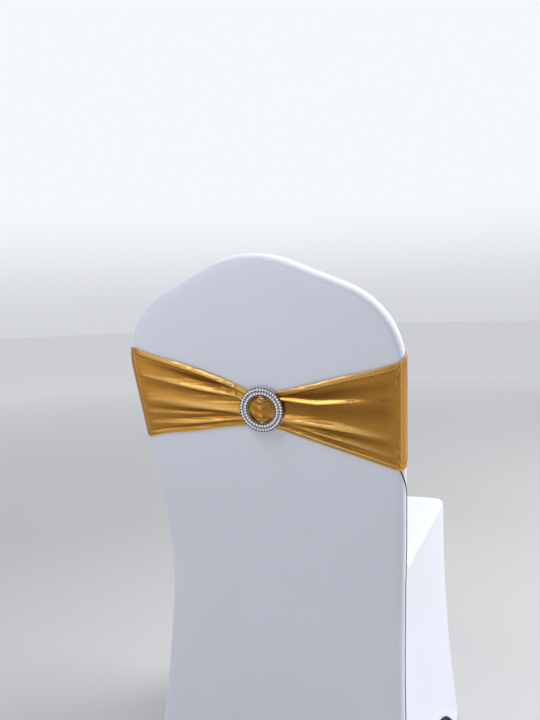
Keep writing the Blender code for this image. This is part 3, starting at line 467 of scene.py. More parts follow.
def half_width(distance, profile):
    """Half width of the cover at a distance down one of the two outlines."""
    if distance <= KNEE:
        return BACK_HALF - BACK_TAPER * (distance - SHOULDER_DROP)
    y, z, _ = profile(distance)
    return skirt_half(y, z, profile)


def cover_half(distance):
    """Half width of the back at a distance down, its rounded shoulders included."""
    if distance < SHOULDER_DOWN - SHOULDER_RADIUS * math.cos(SIDE_TURN):
        rise = SHOULDER_DOWN - distance
        return SHOULDER_ACROSS + math.sqrt(SHOULDER_RADIUS**2 - rise * rise)
    return BACK_HALF - BACK_TAPER * (distance - SHOULDER_DROP)


def outline_row(distance, profile):
    """Place on the outline's straight side at a distance down, and its outward direction."""
    above, below = distance - LEAN_STEP, distance + LEAN_STEP
    lean = (half_width(below, profile) - half_width(above, profile)) / (2.0 * LEAN_STEP)
    size = math.hypot(1.0, lean)
    return (half_width(distance, profile), -distance, 1.0 / size, lean / size)


def outline_samples(profile, end, marks, step):
    """Right half of the outline from the crown down: place and outward direction."""
    peak_cut = PEAK_RADIUS * math.tan(SLOPE)
    peak_down = PEAK_RADIUS * (1.0 / math.cos(SLOPE) - 1.0)
    rows = []
    count = math.ceil(PEAK_RADIUS * SLOPE / step)
    for k in range(count + 1):
        angle = SLOPE * k / count
        down = -peak_down - PEAK_RADIUS * (1.0 - math.cos(angle))
        rows.append((PEAK_RADIUS * math.sin(angle), down, math.sin(angle), math.cos(angle)))
    straight = SLOPE_LENGTH - peak_cut - SHOULDER_CUT
    count = math.ceil(straight / step)
    for k in range(1, count + 1):
        reach = peak_cut + straight * k / count
        place = (reach * math.cos(SLOPE), -reach * math.sin(SLOPE))
        rows.append((*place, math.sin(SLOPE), math.cos(SLOPE)))
    base = rows[-1]
    count = math.ceil(SHOULDER_RADIUS * (SIDE_TURN - SLOPE) / step)
    for k in range(1, count + 1):
        angle = SLOPE + (SIDE_TURN - SLOPE) * k / count
        across = base[0] + SHOULDER_RADIUS * (math.sin(angle) - math.sin(SLOPE))
        down = base[1] - SHOULDER_RADIUS * (math.cos(SLOPE) - math.cos(angle))
        rows.append((across, down, math.sin(angle), math.cos(angle)))
    marks = [-rows[-1][1]] + [mark for mark in marks if mark < end - 1e-6] + [end]
    for low, high in zip(marks[:-1], marks[1:]):
        count = max(1, math.ceil((high - low) / step - 1e-6))
        rows += [outline_row(low + (high - low) * k / count, profile) for k in range(1, count + 1)]
    return rows


def edge_offset(arc):
    """Outward reach, depth and turn at a distance round the edge of the back."""
    if arc <= 0.0:
        return arc, EDGE_FALL * max(0.0, 1.0 + arc / FALL_WIDTH) ** 2, 0.0
    if arc <= QUARTER:
        turn = arc / EDGE_RADIUS
        depth = EDGE_FALL + EDGE_RADIUS * (1.0 - math.cos(turn))
        return EDGE_RADIUS * math.sin(turn), depth, turn
    if arc <= QUARTER + EDGE_FLAT:
        return EDGE_RADIUS, SIDE_DEPTH + (arc - QUARTER), math.pi / 2.0
    turn = (arc - QUARTER - EDGE_FLAT) / EDGE_RADIUS + math.pi / 2.0
    depth = SIDE_DEPTH + EDGE_FLAT - EDGE_RADIUS * math.cos(turn)
    return EDGE_RADIUS * math.sin(turn), depth, turn


def place_point(profile, inward, across, down, depth):
    """World place of a point at a depth under one of the two outlines."""
    y, z, heading = profile(max(0.0, -down))
    return (
        across + SHIFT[0],
        y + inward * depth * math.cos(heading) + SHIFT[1],
        z + inward * depth * math.sin(heading) + SHIFT[2],
    )


def edge_point(profile, inward, row, arc, lift=0.0):
    """World place and outward direction at a distance round the edge."""
    across, down, out_across, out_down = row
    reach, depth, turn = edge_offset(arc)
    reach += lift * math.sin(turn)
    depth -= lift * math.cos(turn)
    shift = reach - EDGE_RADIUS
    place = place_point(
        profile, inward, across + out_across * shift, down + out_down * shift, depth
    )
    heading = profile(max(0.0, -(down + out_down * shift)))[2]
    sine, cosine = math.sin(turn), math.cos(turn)
    normal = (
        sine * out_across,
        -inward * cosine * math.cos(heading) - sine * out_down * math.sin(heading),
        -inward * cosine * math.sin(heading) + sine * out_down * math.cos(heading),
    )
    return place, normal


def on_side(side, place, normal):
    """A place and direction of the right side, or the same mirrored to the left for -1."""
    place = (side * (place[0] - SHIFT[0]) + SHIFT[0], place[1], place[2])
    return place, (side * normal[0], normal[1], normal[2])


def seam_arc(distance):
    """How far round the edge the rear panel's side seam lies."""
    return float(np.interp(distance, *zip(*SEAM_TABLE)))


def quarter_seam(distance):
    """The seat and front, at any distance down, end where the edge has turned a quarter."""
    return QUARTER


def bow(across, width, height):
    """How far a free stretch of skirt is pulled in under the seat."""
    share = math.cos(math.pi / 2.0 * min(1.0, abs(across) / width))
    return PULL * share * math.sin(math.pi * min(1.0, max(0.0, height / SEAT_Z)))


class CoverSettings(bpy.types.PropertyGroup):
    """Sizes and colours of the looks."""

    lattice: FloatProperty(
        name="Cloth spacing", description="Spacing of the cover's mesh", default=0.009,
        min=0.004, max=0.03, subtype="DISTANCE",
    )
    cloth_colour: FloatVectorProperty(
        name="Cloth", description="Colour of the stretch cloth", default=(0.725, 0.755, 0.850),
        min=0.0, max=1.0, size=3, subtype="COLOR",
    )
    foil_colour: FloatVectorProperty(
        name="Foil", description="Colour of the sash", default=(0.44, 0.200, 0.025),
        min=0.0, max=1.0, size=3, subtype="COLOR",
    )
    metal_colour: FloatVectorProperty(
        name="Metal", description="Colour of the buckle's metal", default=(0.80, 0.81, 0.84),
        min=0.0, max=1.0, size=3, subtype="COLOR",
    )
    stitch_pitch: FloatProperty(
        name="Stitch pitch", description="Distance from stitch to stitch", default=0.0031,
        min=0.001, max=0.02, subtype="DISTANCE",
    )
    stone_size: FloatProperty(
        name="Stone radius", description="Radius of one cut stone", default=0.00192,
        min=0.0005, max=0.005, subtype="DISTANCE",
    )
    outer_stones: IntProperty(
        name="Outer stones", description="Stones in the outer row", default=45, min=8, max=120
    )
    inner_stones: IntProperty(
        name="Inner stones", description="Stones in the inner row", default=36, min=8, max=120
    )
    seed: IntProperty(name="Seed", description="Seed of the stones' tints", default=7)


# Shader helpers


def add_node(tree, kind, **values):
    """One node with its properties and named inputs set."""
    node = tree.nodes.new(kind)
    for key, value in values.items():
        if hasattr(node, key):
            setattr(node, key, value)
        else:
            node.inputs[key.replace("_", " ")].default_value = value
    return node


def maths(tree, operation, first, second=None):
    """One arithmetic node fed by sockets or numbers."""
    node = tree.nodes.new("ShaderNodeMath")
    node.operation = operation
    for number, value in enumerate((first, second)):
        if value is None:
            continue
        if isinstance(value, (int, float)):
            node.inputs[number].default_value = value
        else:
            tree.links.new(value, node.inputs[number])
    return node.outputs[0]


def knit_group():
    """Relief of a fine knit from a flat place in metres and a stitch size."""
    group = bpy.data.node_groups.new("knit_relief", "ShaderNodeTree")
    group.interface.new_socket("Place", in_out="INPUT", socket_type="NodeSocketVector")
    group.interface.new_socket("Stitch", in_out="INPUT", socket_type="NodeSocketFloat")
    group.interface.new_socket("Height", in_out="OUTPUT", socket_type="NodeSocketFloat")
    start = group.nodes.new("NodeGroupInput")
    end = group.nodes.new("NodeGroupOutput")
    split = group.nodes.new("ShaderNodeSeparateXYZ")
    group.links.new(start.outputs["Place"], split.inputs[0])
    turn = maths(group, "DIVIDE", 2.0 * math.pi, start.outputs["Stitch"])
    wale = maths(group, "MULTIPLY", split.outputs["X"], turn)
    course = maths(group, "MULTIPLY", split.outputs["Y"], turn)
    loop = maths(group, "ABSOLUTE", maths(group, "SINE", wale))
    lean = maths(group, "ADD", maths(group, "MULTIPLY", course, 1.3), loop)
    rib = maths(group, "SINE", lean)
    loops = maths(group, "MULTIPLY", loop, 0.6)
    ribs = maths(group, "MULTIPLY", rib, 0.4)
    height = maths(group, "ADD", loops, ribs)
    group.links.new(height, end.inputs["Height"])
    return group


def mottle_group():
    """Slow uneven value from 0 to 1 for a place and a size."""
    group = bpy.data.node_groups.new("soft_mottle", "ShaderNodeTree")
    group.interface.new_socket("Place", in_out="INPUT", socket_type="NodeSocketVector")
    group.interface.new_socket("Scale", in_out="INPUT", socket_type="NodeSocketFloat")
    group.interface.new_socket("Value", in_out="OUTPUT", socket_type="NodeSocketFloat")
    start = group.nodes.new("NodeGroupInput")
    end = group.nodes.new("NodeGroupOutput")
    noise = add_node(group, "ShaderNodeTexNoise", Detail=3.0, Roughness=0.55)
    group.links.new(start.outputs["Place"], noise.inputs["Vector"])
    group.links.new(start.outputs["Scale"], noise.inputs["Scale"])
    group.links.new(noise.outputs["Fac"], end.inputs["Value"])
    return group


def group_node(tree, name, builder):
    """A node that shows the named shared group, made at its first use."""
    group = bpy.data.node_groups.get(name) or builder()
    node = tree.nodes.new("ShaderNodeGroup")
    node.node_tree = group
    return node


def mottled(tree, place, scale):
    """Slow uneven value over a place."""
    mottle = group_node(tree, "soft_mottle", mottle_group)
    mottle.inputs["Scale"].default_value = scale
    tree.links.new(place, mottle.inputs["Place"])
    return mottle.outputs[0]


def knitted(tree, place, stitch):
    """Relief of a knit with stitches of one size over a flat place."""
    knit = group_node(tree, "knit_relief", knit_group)
    knit.inputs["Stitch"].default_value = stitch
    tree.links.new(place, knit.inputs["Place"])
    return knit.outputs[0]


def add_bump(tree, shader, height, strength, distance):
    """Let a height lift the surface."""
    bump = add_node(tree, "ShaderNodeBump", Strength=strength, Distance=distance)
    tree.links.new(height, bump.inputs["Height"])
    tree.links.new(bump.outputs[0], shader.inputs["Normal"])


def mixed(tree, factor, low, high):
    """Colour between two colours or sockets, or their product where no factor is given."""
    node = tree.nodes.new("ShaderNodeMix")
    node.data_type = "RGBA"
    if factor is None:
        node.blend_type = "MULTIPLY"
        node.inputs["Factor"].default_value = 1.0
    else:
        tree.links.new(factor, node.inputs["Factor"])
    for name, value in (("A", low), ("B", high)):
        sockets = [s for s in node.inputs if s.name == name and s.type == "RGBA"]
        if isinstance(value, tuple):
            sockets[0].default_value = value
        else:
            tree.links.new(value, sockets[0])
    return [s for s in node.outputs if s.type == "RGBA"][0]


def new_material(name):
    """A material, its tree and its principled shader."""
    made = bpy.data.materials.new(name)
    made.use_nodes = True
    tree = made.node_tree
    return made, tree, tree.nodes["Principled BSDF"]


def shade(colour, share):
    """A colour made lighter or darker, with its alpha."""
    return tuple(min(1.0, c * share) for c in colour) + (1.0,)


def cloth_material(colour):
    """White stretch cloth: fine knit, soft sheen, faint unevenness."""
    made, tree, shader = new_material("stretch_cloth")
    place = add_node(tree, "ShaderNodeUVMap", uv_map="cloth")
    spot = tree.nodes.new("ShaderNodeTexCoord")
    mottle = mottled(tree, spot.outputs["Object"], 9.0)
    tint = mixed(tree, mottle, shade(colour, 0.975), shade(colour, 1.02))
    tree.links.new(tint, shader.inputs["Base Color"])
    add_bump(tree, shader, knitted(tree, place.outputs[0], COVER_STITCH), 0.20, 0.00025)
    shader.inputs["Roughness"].default_value = 0.66
    shader.inputs["Specular IOR Level"].default_value = 0.28
    shader.inputs["Sheen Weight"].default_value = 0.22
    shader.inputs["Sheen Roughness"].default_value = 0.45
    return made


def foil_material(colour):
    """Foil-coated knit: bright metal skin broken by fine slanting specks."""
    made, tree, shader = new_material("gold_foil")
    place = add_node(tree, "ShaderNodeUVMap", uv_map="cloth")
    turn = tree.nodes.new("ShaderNodeMapping")
    turn.inputs["Rotation"].default_value = (0.0, 0.0, math.radians(38.0))
    tree.links.new(place.outputs[0], turn.inputs["Vector"])
    knit = knitted(tree, turn.outputs[0], FOIL_STITCH)
    specks = add_node(tree, "ShaderNodeTexNoise", Scale=620.0, Detail=2.0, Roughness=0.6)
    tree.links.new(turn.outputs[0], specks.inputs["Vector"])
    mottle = mottled(tree, place.outputs[0], 34.0)
    worn = mixed(tree, mottle, shade(colour, 0.86), shade(colour, 1.12))
    ramp = tree.nodes.new("ShaderNodeValToRGB")
    ramp.color_ramp.elements[0].position = 0.40
    ramp.color_ramp.elements[1].position = 0.64
    tree.links.new(specks.outputs["Fac"], ramp.inputs["Fac"])
    soft = maths(tree, "MULTIPLY", ramp.outputs["Color"], 0.14)
    foil = mixed(tree, soft, worn, SPECK_GOLD)
    # the foil's colour gets painted shade between folds and painted highlight on ridges
    tree.links.new(paint_fold_light(tree, foil), shader.inputs["Base Color"])
    rough = maths(tree, "ADD", maths(tree, "MULTIPLY", specks.outputs["Fac"], 0.16), 0.20)
    tree.links.new(rough, shader.inputs["Roughness"])
    grain = maths(tree, "MULTIPLY", specks.outputs["Fac"], 0.35)
    add_bump(tree, shader, maths(tree, "ADD", grain, knit), 0.10, 0.00016)
    shader.inputs["Metallic"].default_value = 0.90
    return made


def paint_fold_light(tree, foil):
    """The foil's colour with painted shade deep between folds and a painted highlight along their
    ridges.
    """
    fold = add_node(tree, "ShaderNodeAttribute", attribute_name="fold")
    dent = add_node(tree, "ShaderNodeMapRange", From_Max=0.5)
    ridge = add_node(tree, "ShaderNodeMapRange", From_Min=0.52, To_Max=0.75)
    tree.links.new(fold.outputs["Fac"], dent.inputs["Value"])
    tree.links.new(fold.outputs["Fac"], ridge.inputs["Value"])
    dark = mixed(tree, None, foil, mixed(tree, dent.outputs[0], PAINTED_FOLD_SHADE, PLAIN))
    return mixed(tree, ridge.outputs[0], dark, PAINTED_RIDGE_HIGHLIGHT)


def metal_material(colour):
    """Plated metal with faint polishing marks."""
    made, tree, shader = new_material("plated_metal")
    spot = tree.nodes.new("ShaderNodeTexCoord")
    mottle = mottled(tree, spot.outputs["Object"], 210.0)
    tint = mixed(tree, mottle, shade(colour, 0.90), shade(colour, 1.06))
    tree.links.new(tint, shader.inputs["Base Color"])
    rough = maths(tree, "ADD", maths(tree, "MULTIPLY", mottle, 0.14), 0.13)
    tree.links.new(rough, shader.inputs["Roughness"])
    add_bump(tree, shader, mottle, 0.10, 0.0001)
    shader.inputs["Metallic"].default_value = 1.0
    return made


def painted_shadow_metal():
    """Dark metal painted as the shadow at the bottom of the stone channels."""
    made, tree, shader = new_material("channel_painted_shadow")
    spot = tree.nodes.new("ShaderNodeTexCoord")
    mottle = mottled(tree, spot.outputs["Object"], 320.0)
    tint = mixed(tree, mottle, (0.045, 0.045, 0.065, 1.0), (0.11, 0.11, 0.15, 1.0))
    tree.links.new(tint, shader.inputs["Base Color"])
    shader.inputs["Metallic"].default_value = 0.6
    shader.inputs["Roughness"].default_value = 0.5
    return made


def stone_material():
    """Clear cut stones on silver foil, each with its own faint tint."""
    made, tree, shader = new_material("cut_stones")
    own = add_node(tree, "ShaderNodeAttribute", attribute_name="tint")
    ramp = tree.nodes.new("ShaderNodeValToRGB")
    ramp.color_ramp.elements[0].color = (0.90, 0.90, 0.96, 1.0)
    ramp.color_ramp.elements[1].color = (1.0, 1.0, 1.0, 1.0)
    tree.links.new(own.outputs["Fac"], ramp.inputs["Fac"])
    tree.links.new(ramp.outputs["Color"], shader.inputs["Base Color"])
    rough = maths(tree, "ADD", maths(tree, "MULTIPLY", own.outputs["Fac"], 0.07), 0.04)
    tree.links.new(rough, shader.inputs["Roughness"])
    shader.inputs["Coat Weight"].default_value = 1.0
    shader.inputs["Coat Roughness"].default_value = 0.02
    return made


def thread_material(name, colour, metallic):
    """Sewing thread with a fine twist."""
    made, tree, shader = new_material(name)
    spot = tree.nodes.new("ShaderNodeTexCoord")
    twist = add_node(tree, "ShaderNodeTexWave", Scale=900.0, Distortion=0.6)
    tree.links.new(spot.outputs["Object"], twist.inputs["Vector"])
    tint = mixed(tree, twist.outputs["Fac"], shade(colour, 0.84), shade(colour, 1.05))
    tree.links.new(tint, shader.inputs["Base Color"])
    add_bump(tree, shader, twist.outputs["Fac"], 0.25, 0.0001)
    shader.inputs["Roughness"].default_value = 0.55
    shader.inputs["Metallic"].default_value = metallic
    return made


# Meshes


def thick_mesh(name, places, normals, triangles, thickness, flats, skin):
    """Closed sheet from its outer face, with its flat cut kept as texture places."""
    places = np.array(places, float)
    inner = places - np.array(normals, float) * thickness
    count = len(places)
    faces = [tuple(face) for face in triangles]
    edges = set()
    for face in faces:
        for k in range(len(face)):
            edges.add((face[k], face[(k + 1) % len(face)]))
    rim = [(b, a, count + a, count + b) for a, b in edges if (b, a) not in edges]
    rim.sort()
    faces += [tuple(count + k for k in reversed(face)) for face in triangles] + rim
    mesh = bpy.data.meshes.new(name)
    mesh.from_pydata(np.vstack((places, inner)).tolist(), [], faces)
    mesh.update()
    mesh.polygons.foreach_set("use_smooth", [True] * len(mesh.polygons))
    mesh.set_sharp_from_angle(angle=math.radians(60.0))
    layer = mesh.uv_layers.new(name="cloth")
    spots = np.array(list(flats) + list(flats), float)
    corners = np.empty(len(mesh.loops), int)
    mesh.loops.foreach_get("vertex_index", corners)
    layer.data.foreach_set("uv", spots[corners].ravel())
    made = bpy.data.objects.new(name, mesh)
    bpy.context.scene.collection.objects.link(made)
    mesh.materials.append(skin)
    return made


def inside_many(points, loop):
    """Which flat points lie inside a closed loop."""
    a = loop
    b = np.roll(loop, -1, axis=0)
    x, y = points[:, :1], points[:, 1:]
    crossing = (a[:, 1] > y) != (b[:, 1] > y)
    rise = np.where(b[:, 1] == a[:, 1], 1.0, b[:, 1] - a[:, 1])
    at = (b[:, 0] - a[:, 0]) * (y - a[:, 1]) / rise + a[:, 0]
    return ((crossing & (x < at)).sum(axis=1) % 2) == 1


def line_distance(points, line):
    """Distance from flat points to an open line of points."""
    a, b = line[:-1], line[1:]
    run = b - a
    size = np.maximum((run**2).sum(axis=1), 1e-12)
    off = points[:, None, :] - a
    t = np.clip((off * run).sum(axis=2) / size, 0.0, 1.0)
    gap = off - t[:, :, None] * run
    return np.sqrt((gap**2).sum(axis=2)).min(axis=1)


def flat_triangles(domain, loop_count, facing):
    """Triangles of a flat region whose first points are its closed edge."""
    made = delaunay_2d_cdt(domain, [], [list(range(loop_count))], 1, 1e-7)
    if len(made[0]) != len(domain):
        raise RuntimeError("the edge of a panel crosses itself")
    triangles = []
    for face in made[2]:
        a, b, c = (made[3][k][0] for k in face)
        (ax, ay), (bx, by), (cx, cy) = domain[a], domain[b], domain[c]
        area = (bx - ax) * (cy - ay) - (cx - ax) * (by - ay)
        triangles.append((a, b, c) if area * facing > 0.0 else (a, c, b))
    return triangles


def crease_height(creases, across, up):
    """Height of soft creases at one place of a flat cut."""
    total = 0.0
    for at, low, turn, length, width, height in creases:
        angle = math.radians(turn)
        along = (across - at) * math.cos(angle) + (up - low) * math.sin(angle)
        off = (up - low) * math.cos(angle) - (across - at) * math.sin(angle)
        total += height * math.exp(-2.0 * (along / length) ** 2 - (off / width) ** 2)
    return total


def lattice_points(columns, lines, step):
    """Points of an even lattice of triangles, over ranges of columns and of lines."""
    return np.array([
        ((i + 0.5 * (j % 2)) * step, j * step * ROW_STEP) for j in lines for i in columns
    ])


def seam_dip(distance):
    """How far the cloth sinks near a seam."""
    return SEAM_DIP * max(0.0, 1.0 - distance / SEAM_WIDTH) ** 2


def hem_share(across, span):
    """Height of the arched hem at a place between two feet."""
    return ARCH * (1.0 - min(1.0, abs(across) / span) ** HEM_POWER)


class Panel:
    """A strip panel while it is laid out: one face of the cover and the edges it wraps."""

    def __init__(self, name, profile, inward, rows, arcs, seam, top, end, arch, lattice):
        self.name, self.profile, self.inward = name, profile, inward
        self.rows, self.arcs, self.seam = rows, arcs, seam
        self.top, self.end, self.arch, self.lattice = top, end, arch, lattice
        self.creases = [row[1:] for row in CREASES if row[0] == name]
        self.flats, self.places, self.normals = [], [], []

    def slack(self, across, down):
        """Depth of the free cloth under the outline: pulled in, or crowned over the seat."""
        _, z, heading = self.profile(max(0.0, -down))
        width = half_width(-down, self.profile) - EDGE_RADIUS
        if self.arch and abs(math.degrees(heading)) < 30.0:
            return bow(across, width, z)
        start = KNEE + FRONT_WALK[1][0]
        if self.inward < 0 and start < -down < start + SEAT_RUN:
            share = math.cos(math.pi / 2.0 * min(1.0, abs(across) / width))
            return -SEAT_CROWN * share * math.sin(math.pi * (-down - start) / SEAT_RUN)
        return 0.0

    def keep(self, flat, place, normal, lift):
        """Keep one point."""
        self.flats.append(flat)
        self.places.append(tuple(place[i] + normal[i] * lift for i in range(3)))
        self.normals.append(normal)

    def edge(self, side, row, arc, from_seam=1.0, lift=0.0):
        """Keep one point of the rounded edge, mirrored for the left side."""
        place, normal = edge_point(self.profile, self.inward, row, arc)
        shift = arc - EDGE_RADIUS
        flat = (side * (row[0] + row[2] * shift), row[1] + row[3] * shift)
        lift -= seam_dip(from_seam)
        if arc <= 0.0:
            lift -= self.slack(flat[0], flat[1])
        self.keep(flat, *on_side(side, place, normal), lift)

    def middle(self, across, down, lift=0.0):
        """Keep one point away from the edges."""
        heading = self.profile(-down)[2]
        place = place_point(self.profile, self.inward, across, down, self.slack(across, down))
        normal = (0.0, -self.inward * math.cos(heading), -self.inward * math.sin(heading))
        lift += crease_height(self.creases, across, down)
        self.keep((across, down), place, normal, lift)

    def lines(self, limit):
        """Lines kept along the edge, with their distance from the seam."""
        made = [(arc, limit - arc) for arc in self.arcs if arc < limit - EDGE_CLEAR]
        return made + [(limit - near, near) for near in reversed(NEAR_SEAM)]

    def hem(self, across, span):
        """Distance down of the lower edge."""
        return -self.end + (hem_share(across, span) if self.arch else 0.0)

    def build(self, skin):
        """Lay the panel out and thicken it."""
        gap = SEAM_GAP / 2.0
        right = [(row, self.seam(-row[1]) - gap) for row in self.rows]
        if self.top is None:
            sides = [(-1, *pair) for pair in reversed(right[1:])] + [(1, *pair) for pair in right]
        else:
            right = [pair for pair in right if -pair[0][1] >= self.top - 1e-6]
            sides = [(-1, *pair) for pair in reversed(right)]
        for side, row, arc in sides:
            self.edge(side, row, arc, 0.0)
        if self.top is not None:
            first, limit = right[0]
            lines = self.lines(limit)
            for arc, near in reversed(lines):
                self.edge(-1, first, arc, near)
            width = first[0] - EDGE_RADIUS + min(self.arcs)
            count = round(2.0 * width / self.lattice)
            for k in range(1, count):
                self.middle(-width + 2.0 * width * k / count, first[1])
            for arc, near in lines:
                self.edge(1, first, arc, near)
            for row, arc in right:
                self.edge(1, row, arc, 0.0)
        last, limit = right[-1]
        foot = [pair for pair in self.lines(limit) if pair[0] >= 0.0 or not self.arch]
        width = last[0] - EDGE_RADIUS + min(arc for arc, _ in foot)
        span = width - FOOT_WIDTH
        rise = HEM_RISE if self.arch else 0.0
        for arc, near in reversed(foot):
            self.edge(1, last, arc, near, rise)
        count = 2 * round(width / self.lattice)
        across = [width - 2.0 * width * k / count for k in range(1, count)]
        for x in across:
            self.middle(x, self.hem(x, span), rise)
        for arc, near in foot:
            self.edge(-1, last, arc, near, rise)
        loop_count = len(self.flats)
        loop = np.array(self.flats)
        if self.arch:
            for up in NEAR_HEM:
                lift = HEM_RISE if up < HEM_WIDTH else 0.0
                row = outline_row(self.end - up, self.profile)
                for side in (-1, 1):
                    self.edge(side, row, limit - HEM_CORNER, HEM_CORNER, lift)
                    for arc, near in foot:
                        if near > HEM_CLEAR:
                            self.edge(side, row, arc, near, lift)
                for x in across:
                    self.middle(x, self.hem(x, span) + up, lift)
        for side in (-1, 1):
            for row, limit in right[1:-1]:
                if side < 0 and row[0] < 1e-6:
                    continue
                for arc, near in self.lines(limit):
                    x = row[0] + row[2] * (arc - EDGE_RADIUS)
                    if self.arch and row[1] < self.hem(x, span) + HEM_WIDTH + HEM_CLEAR:
                        continue
                    self.edge(side, row, arc, near)
        if self.top is None:
            for arc, near in self.lines(right[0][1]):
                self.edge(1, right[0][0], arc, near)
        self.fill(loop, span)
        triangles = flat_triangles(self.flats, loop_count, self.inward)
        return thick_mesh(
            self.name, self.places, self.normals, triangles, CLOTH, self.flats, skin
        )

    def fill(self, loop, span):
        """Keep the lattice inside the edges."""
        step = self.lattice
        clear = LATTICE_CLEAR * step
        columns = math.ceil(BACK_HALF * LATTICE_REACH / step)
        low, high = loop[:, 1].min(), loop[:, 1].max()
        lines = math.ceil((high - low) / (step * ROW_STEP))
        grid = lattice_points(range(-columns, columns + 1), range(1, lines), step)
        grid[:, 1] = high - grid[:, 1]
        grid = grid[inside_many(grid, loop)]
        outline = np.array([(row[0], row[1]) for row in self.rows])
        folded = np.column_stack((np.abs(grid[:, 0]), grid[:, 1]))
        grid = grid[line_distance(folded, outline) > EDGE_RADIUS - min(self.arcs) + 0.5 * step]
        if self.arch:
            hems = np.array([self.hem(x, span) for x in grid[:, 0]])
            grid = grid[grid[:, 1] > hems + HEM_WIDTH + clear]
        else:
            grid = grid[grid[:, 1] > low + clear]
        if self.top is not None:
            grid = grid[grid[:, 1] < high - clear]
        for across, down in grid:
            self.middle(float(across), float(down))


def skirt_edge(rows, profile, inward, arc_at):
    """One upper edge of a side skirt: places, and the way its seam's gap opens at each."""
    made = []
    for row in rows:
        if -row[1] < KNEE - TIP_REACH:
            continue
        place = edge_point(profile, inward, row, arc_at(-row[1]))[0]
        heading = profile(-row[1])[2]
        made.append((place, (inward * math.cos(heading), inward * math.sin(heading))))
    return made


def skirt_edges(rear_rows, front_rows):
    """Upper edges of a side skirt, from the rear foot up to its tip and down to the front."""
    rear = skirt_edge(reversed(rear_rows), rear_profile, 1, seam_arc)
    front = skirt_edge(front_rows, front_profile, -1, quarter_seam)
    tip = rear.pop()
    turn = (tip[1][0] + front[0][1][0], tip[1][1] + front[0][1][1] - TIP_CUT)
    size = math.hypot(*turn)
    front[0] = (front[0][0], (TIP_CUT * turn[0] / size, TIP_CUT * turn[1] / size))
    return rear, front


def side_skirt(name, side, rear_rows, front_rows, lattice, skin):
    """Side skirt between the rear panel's seam and the seat's edge, down to the floor."""
    gap = SEAM_GAP / 2.0
    edge, above = skirt_edges(rear_rows, front_rows)
    rims = edge + above
    rear = np.array([(p[0] - SHIFT[0], p[1] - SHIFT[1], p[2] - SHIFT[2]) for p, _ in edge])
    order = np.argsort(rear[:, 2])
    extra = np.array([p[0] - skirt_half(p[1], p[2], front_profile) for p in rear])[order]
    flats, places = [], []

    def keep(x, y, z):
        """Keep one point, x being its distance out from the middle."""
        flats.append((y, z))
        places.append((side * x + SHIFT[0], y + SHIFT[1], z + SHIFT[2]))

    for place, turn in rims:
        keep(
            place[0] - SHIFT[0] - SEAM_DIP,
            place[1] - SHIFT[1] + turn[0] * gap,
            place[2] - SHIFT[2] + turn[1] * gap,
        )
    front_y, rear_y = flats[-1][0], flats[0][0]
    middle = (front_y + rear_y) / 2.0
    span = (front_y - rear_y) / 2.0 - FOOT_WIDTH

    def free(y, z, lift=0.0):
        """Keep one point of the free cloth."""
        share = min(1.0, max(0.0, (y - rear_y) / (front_y - rear_y)))
        rise = min(1.0, max(0.0, z / SEAT_Z))
        pull = PULL * math.sin(math.pi * share) * math.sin(math.pi * rise)
        near = float(np.interp(z, rear[order, 2], rear[order, 1]))
        blend = 1.0 - smooth((y - near) / SKIRT_BLEND)
        off = float(np.interp(z, rear[order, 2], extra)) * blend
        soft = crease_height(SKIRT_CREASES, y, z) * (1.0 if side < 0 else RIGHT_CREASE)
        keep(skirt_half(y, z, front_profile) - pull + off + soft + lift, y, z)

    def hem_line(across):
        """Height of the skirt's lower edge at each of several places."""
        return np.array([hem_share(y - middle, span) for y in across])

    count = round((front_y - rear_y) / lattice)
    across = [front_y + (rear_y - front_y) * k / count for k in range(1, count)]
    for y in across:
        free(y, hem_share(y - middle, span), HEM_RISE)
    loop_count = len(flats)
    loop = np.array(flats)
    seams = loop[: len(rims)]
    for up in NEAR_HEM:
        for y in across:
            free(y, hem_share(y - middle, span) + up, HEM_RISE if up < HEM_WIDTH else 0.0)
    inner = []
    for near in NEAR_SEAM:
        for place, turn in rims[1:-1]:
            length = math.hypot(*turn)
            point = (
                place[1] - SHIFT[1] + turn[0] * gap + turn[0] / length * near,
                place[2] - SHIFT[2] + turn[1] * gap + turn[1] / length * near,
            )
            inner.append((*point, near))
    inner = np.array(inner)
    fits = inside_many(inner[:, :2], loop)
    fits &= line_distance(inner[:, :2], seams) > inner[:, 2] - 2e-4
    fits &= inner[:, 1] > hem_line(inner[:, 0]) + HEM_WIDTH + HEM_CLEAR
    for y, z, near in inner[fits]:
        free(float(y), float(z), -seam_dip(near))
    grid = lattice_points(
        range(-3, math.ceil((front_y - rear_y) / lattice) + 3),
        range(1, math.ceil(SKIRT_TOP / lattice / ROW_STEP)), lattice,
    )
    grid[:, 0] += rear_y
    grid = grid[inside_many(grid, loop)]
    grid = grid[grid[:, 1] > hem_line(grid[:, 0]) + HEM_WIDTH + LATTICE_CLEAR * lattice]
    grid = grid[line_distance(grid, seams) > NEAR_SEAM[-1] + 0.5 * lattice]
    for y, z in grid:
        free(float(y), float(z))
    triangles = flat_triangles(flats, loop_count, side)
    normals = [(float(side), 0.0, 0.0)] * len(flats)
    return thick_mesh(name, places, normals, triangles, CLOTH, flats, skin)


def panel_rows(lattice):
    """Right halves of the rear and of the front outline."""
    seat_start = KNEE + FRONT_WALK[1][0]
    seat_end = seat_start + SEAT_RUN
    front_marks = (
        SEAM_LEAVES, SEAM_ROUND, KNEE, CREASE - SEAM_GAP / 2.0, CREASE + SEAM_GAP / 2.0,
        seat_start, seat_end, seat_end + FRONT_WALK[3][0],
    )
    rear = outline_samples(rear_profile, REAR_END, REAR_MARKS, lattice)
    front = outline_samples(front_profile, FRONT_END, front_marks, lattice)
    return rear, front


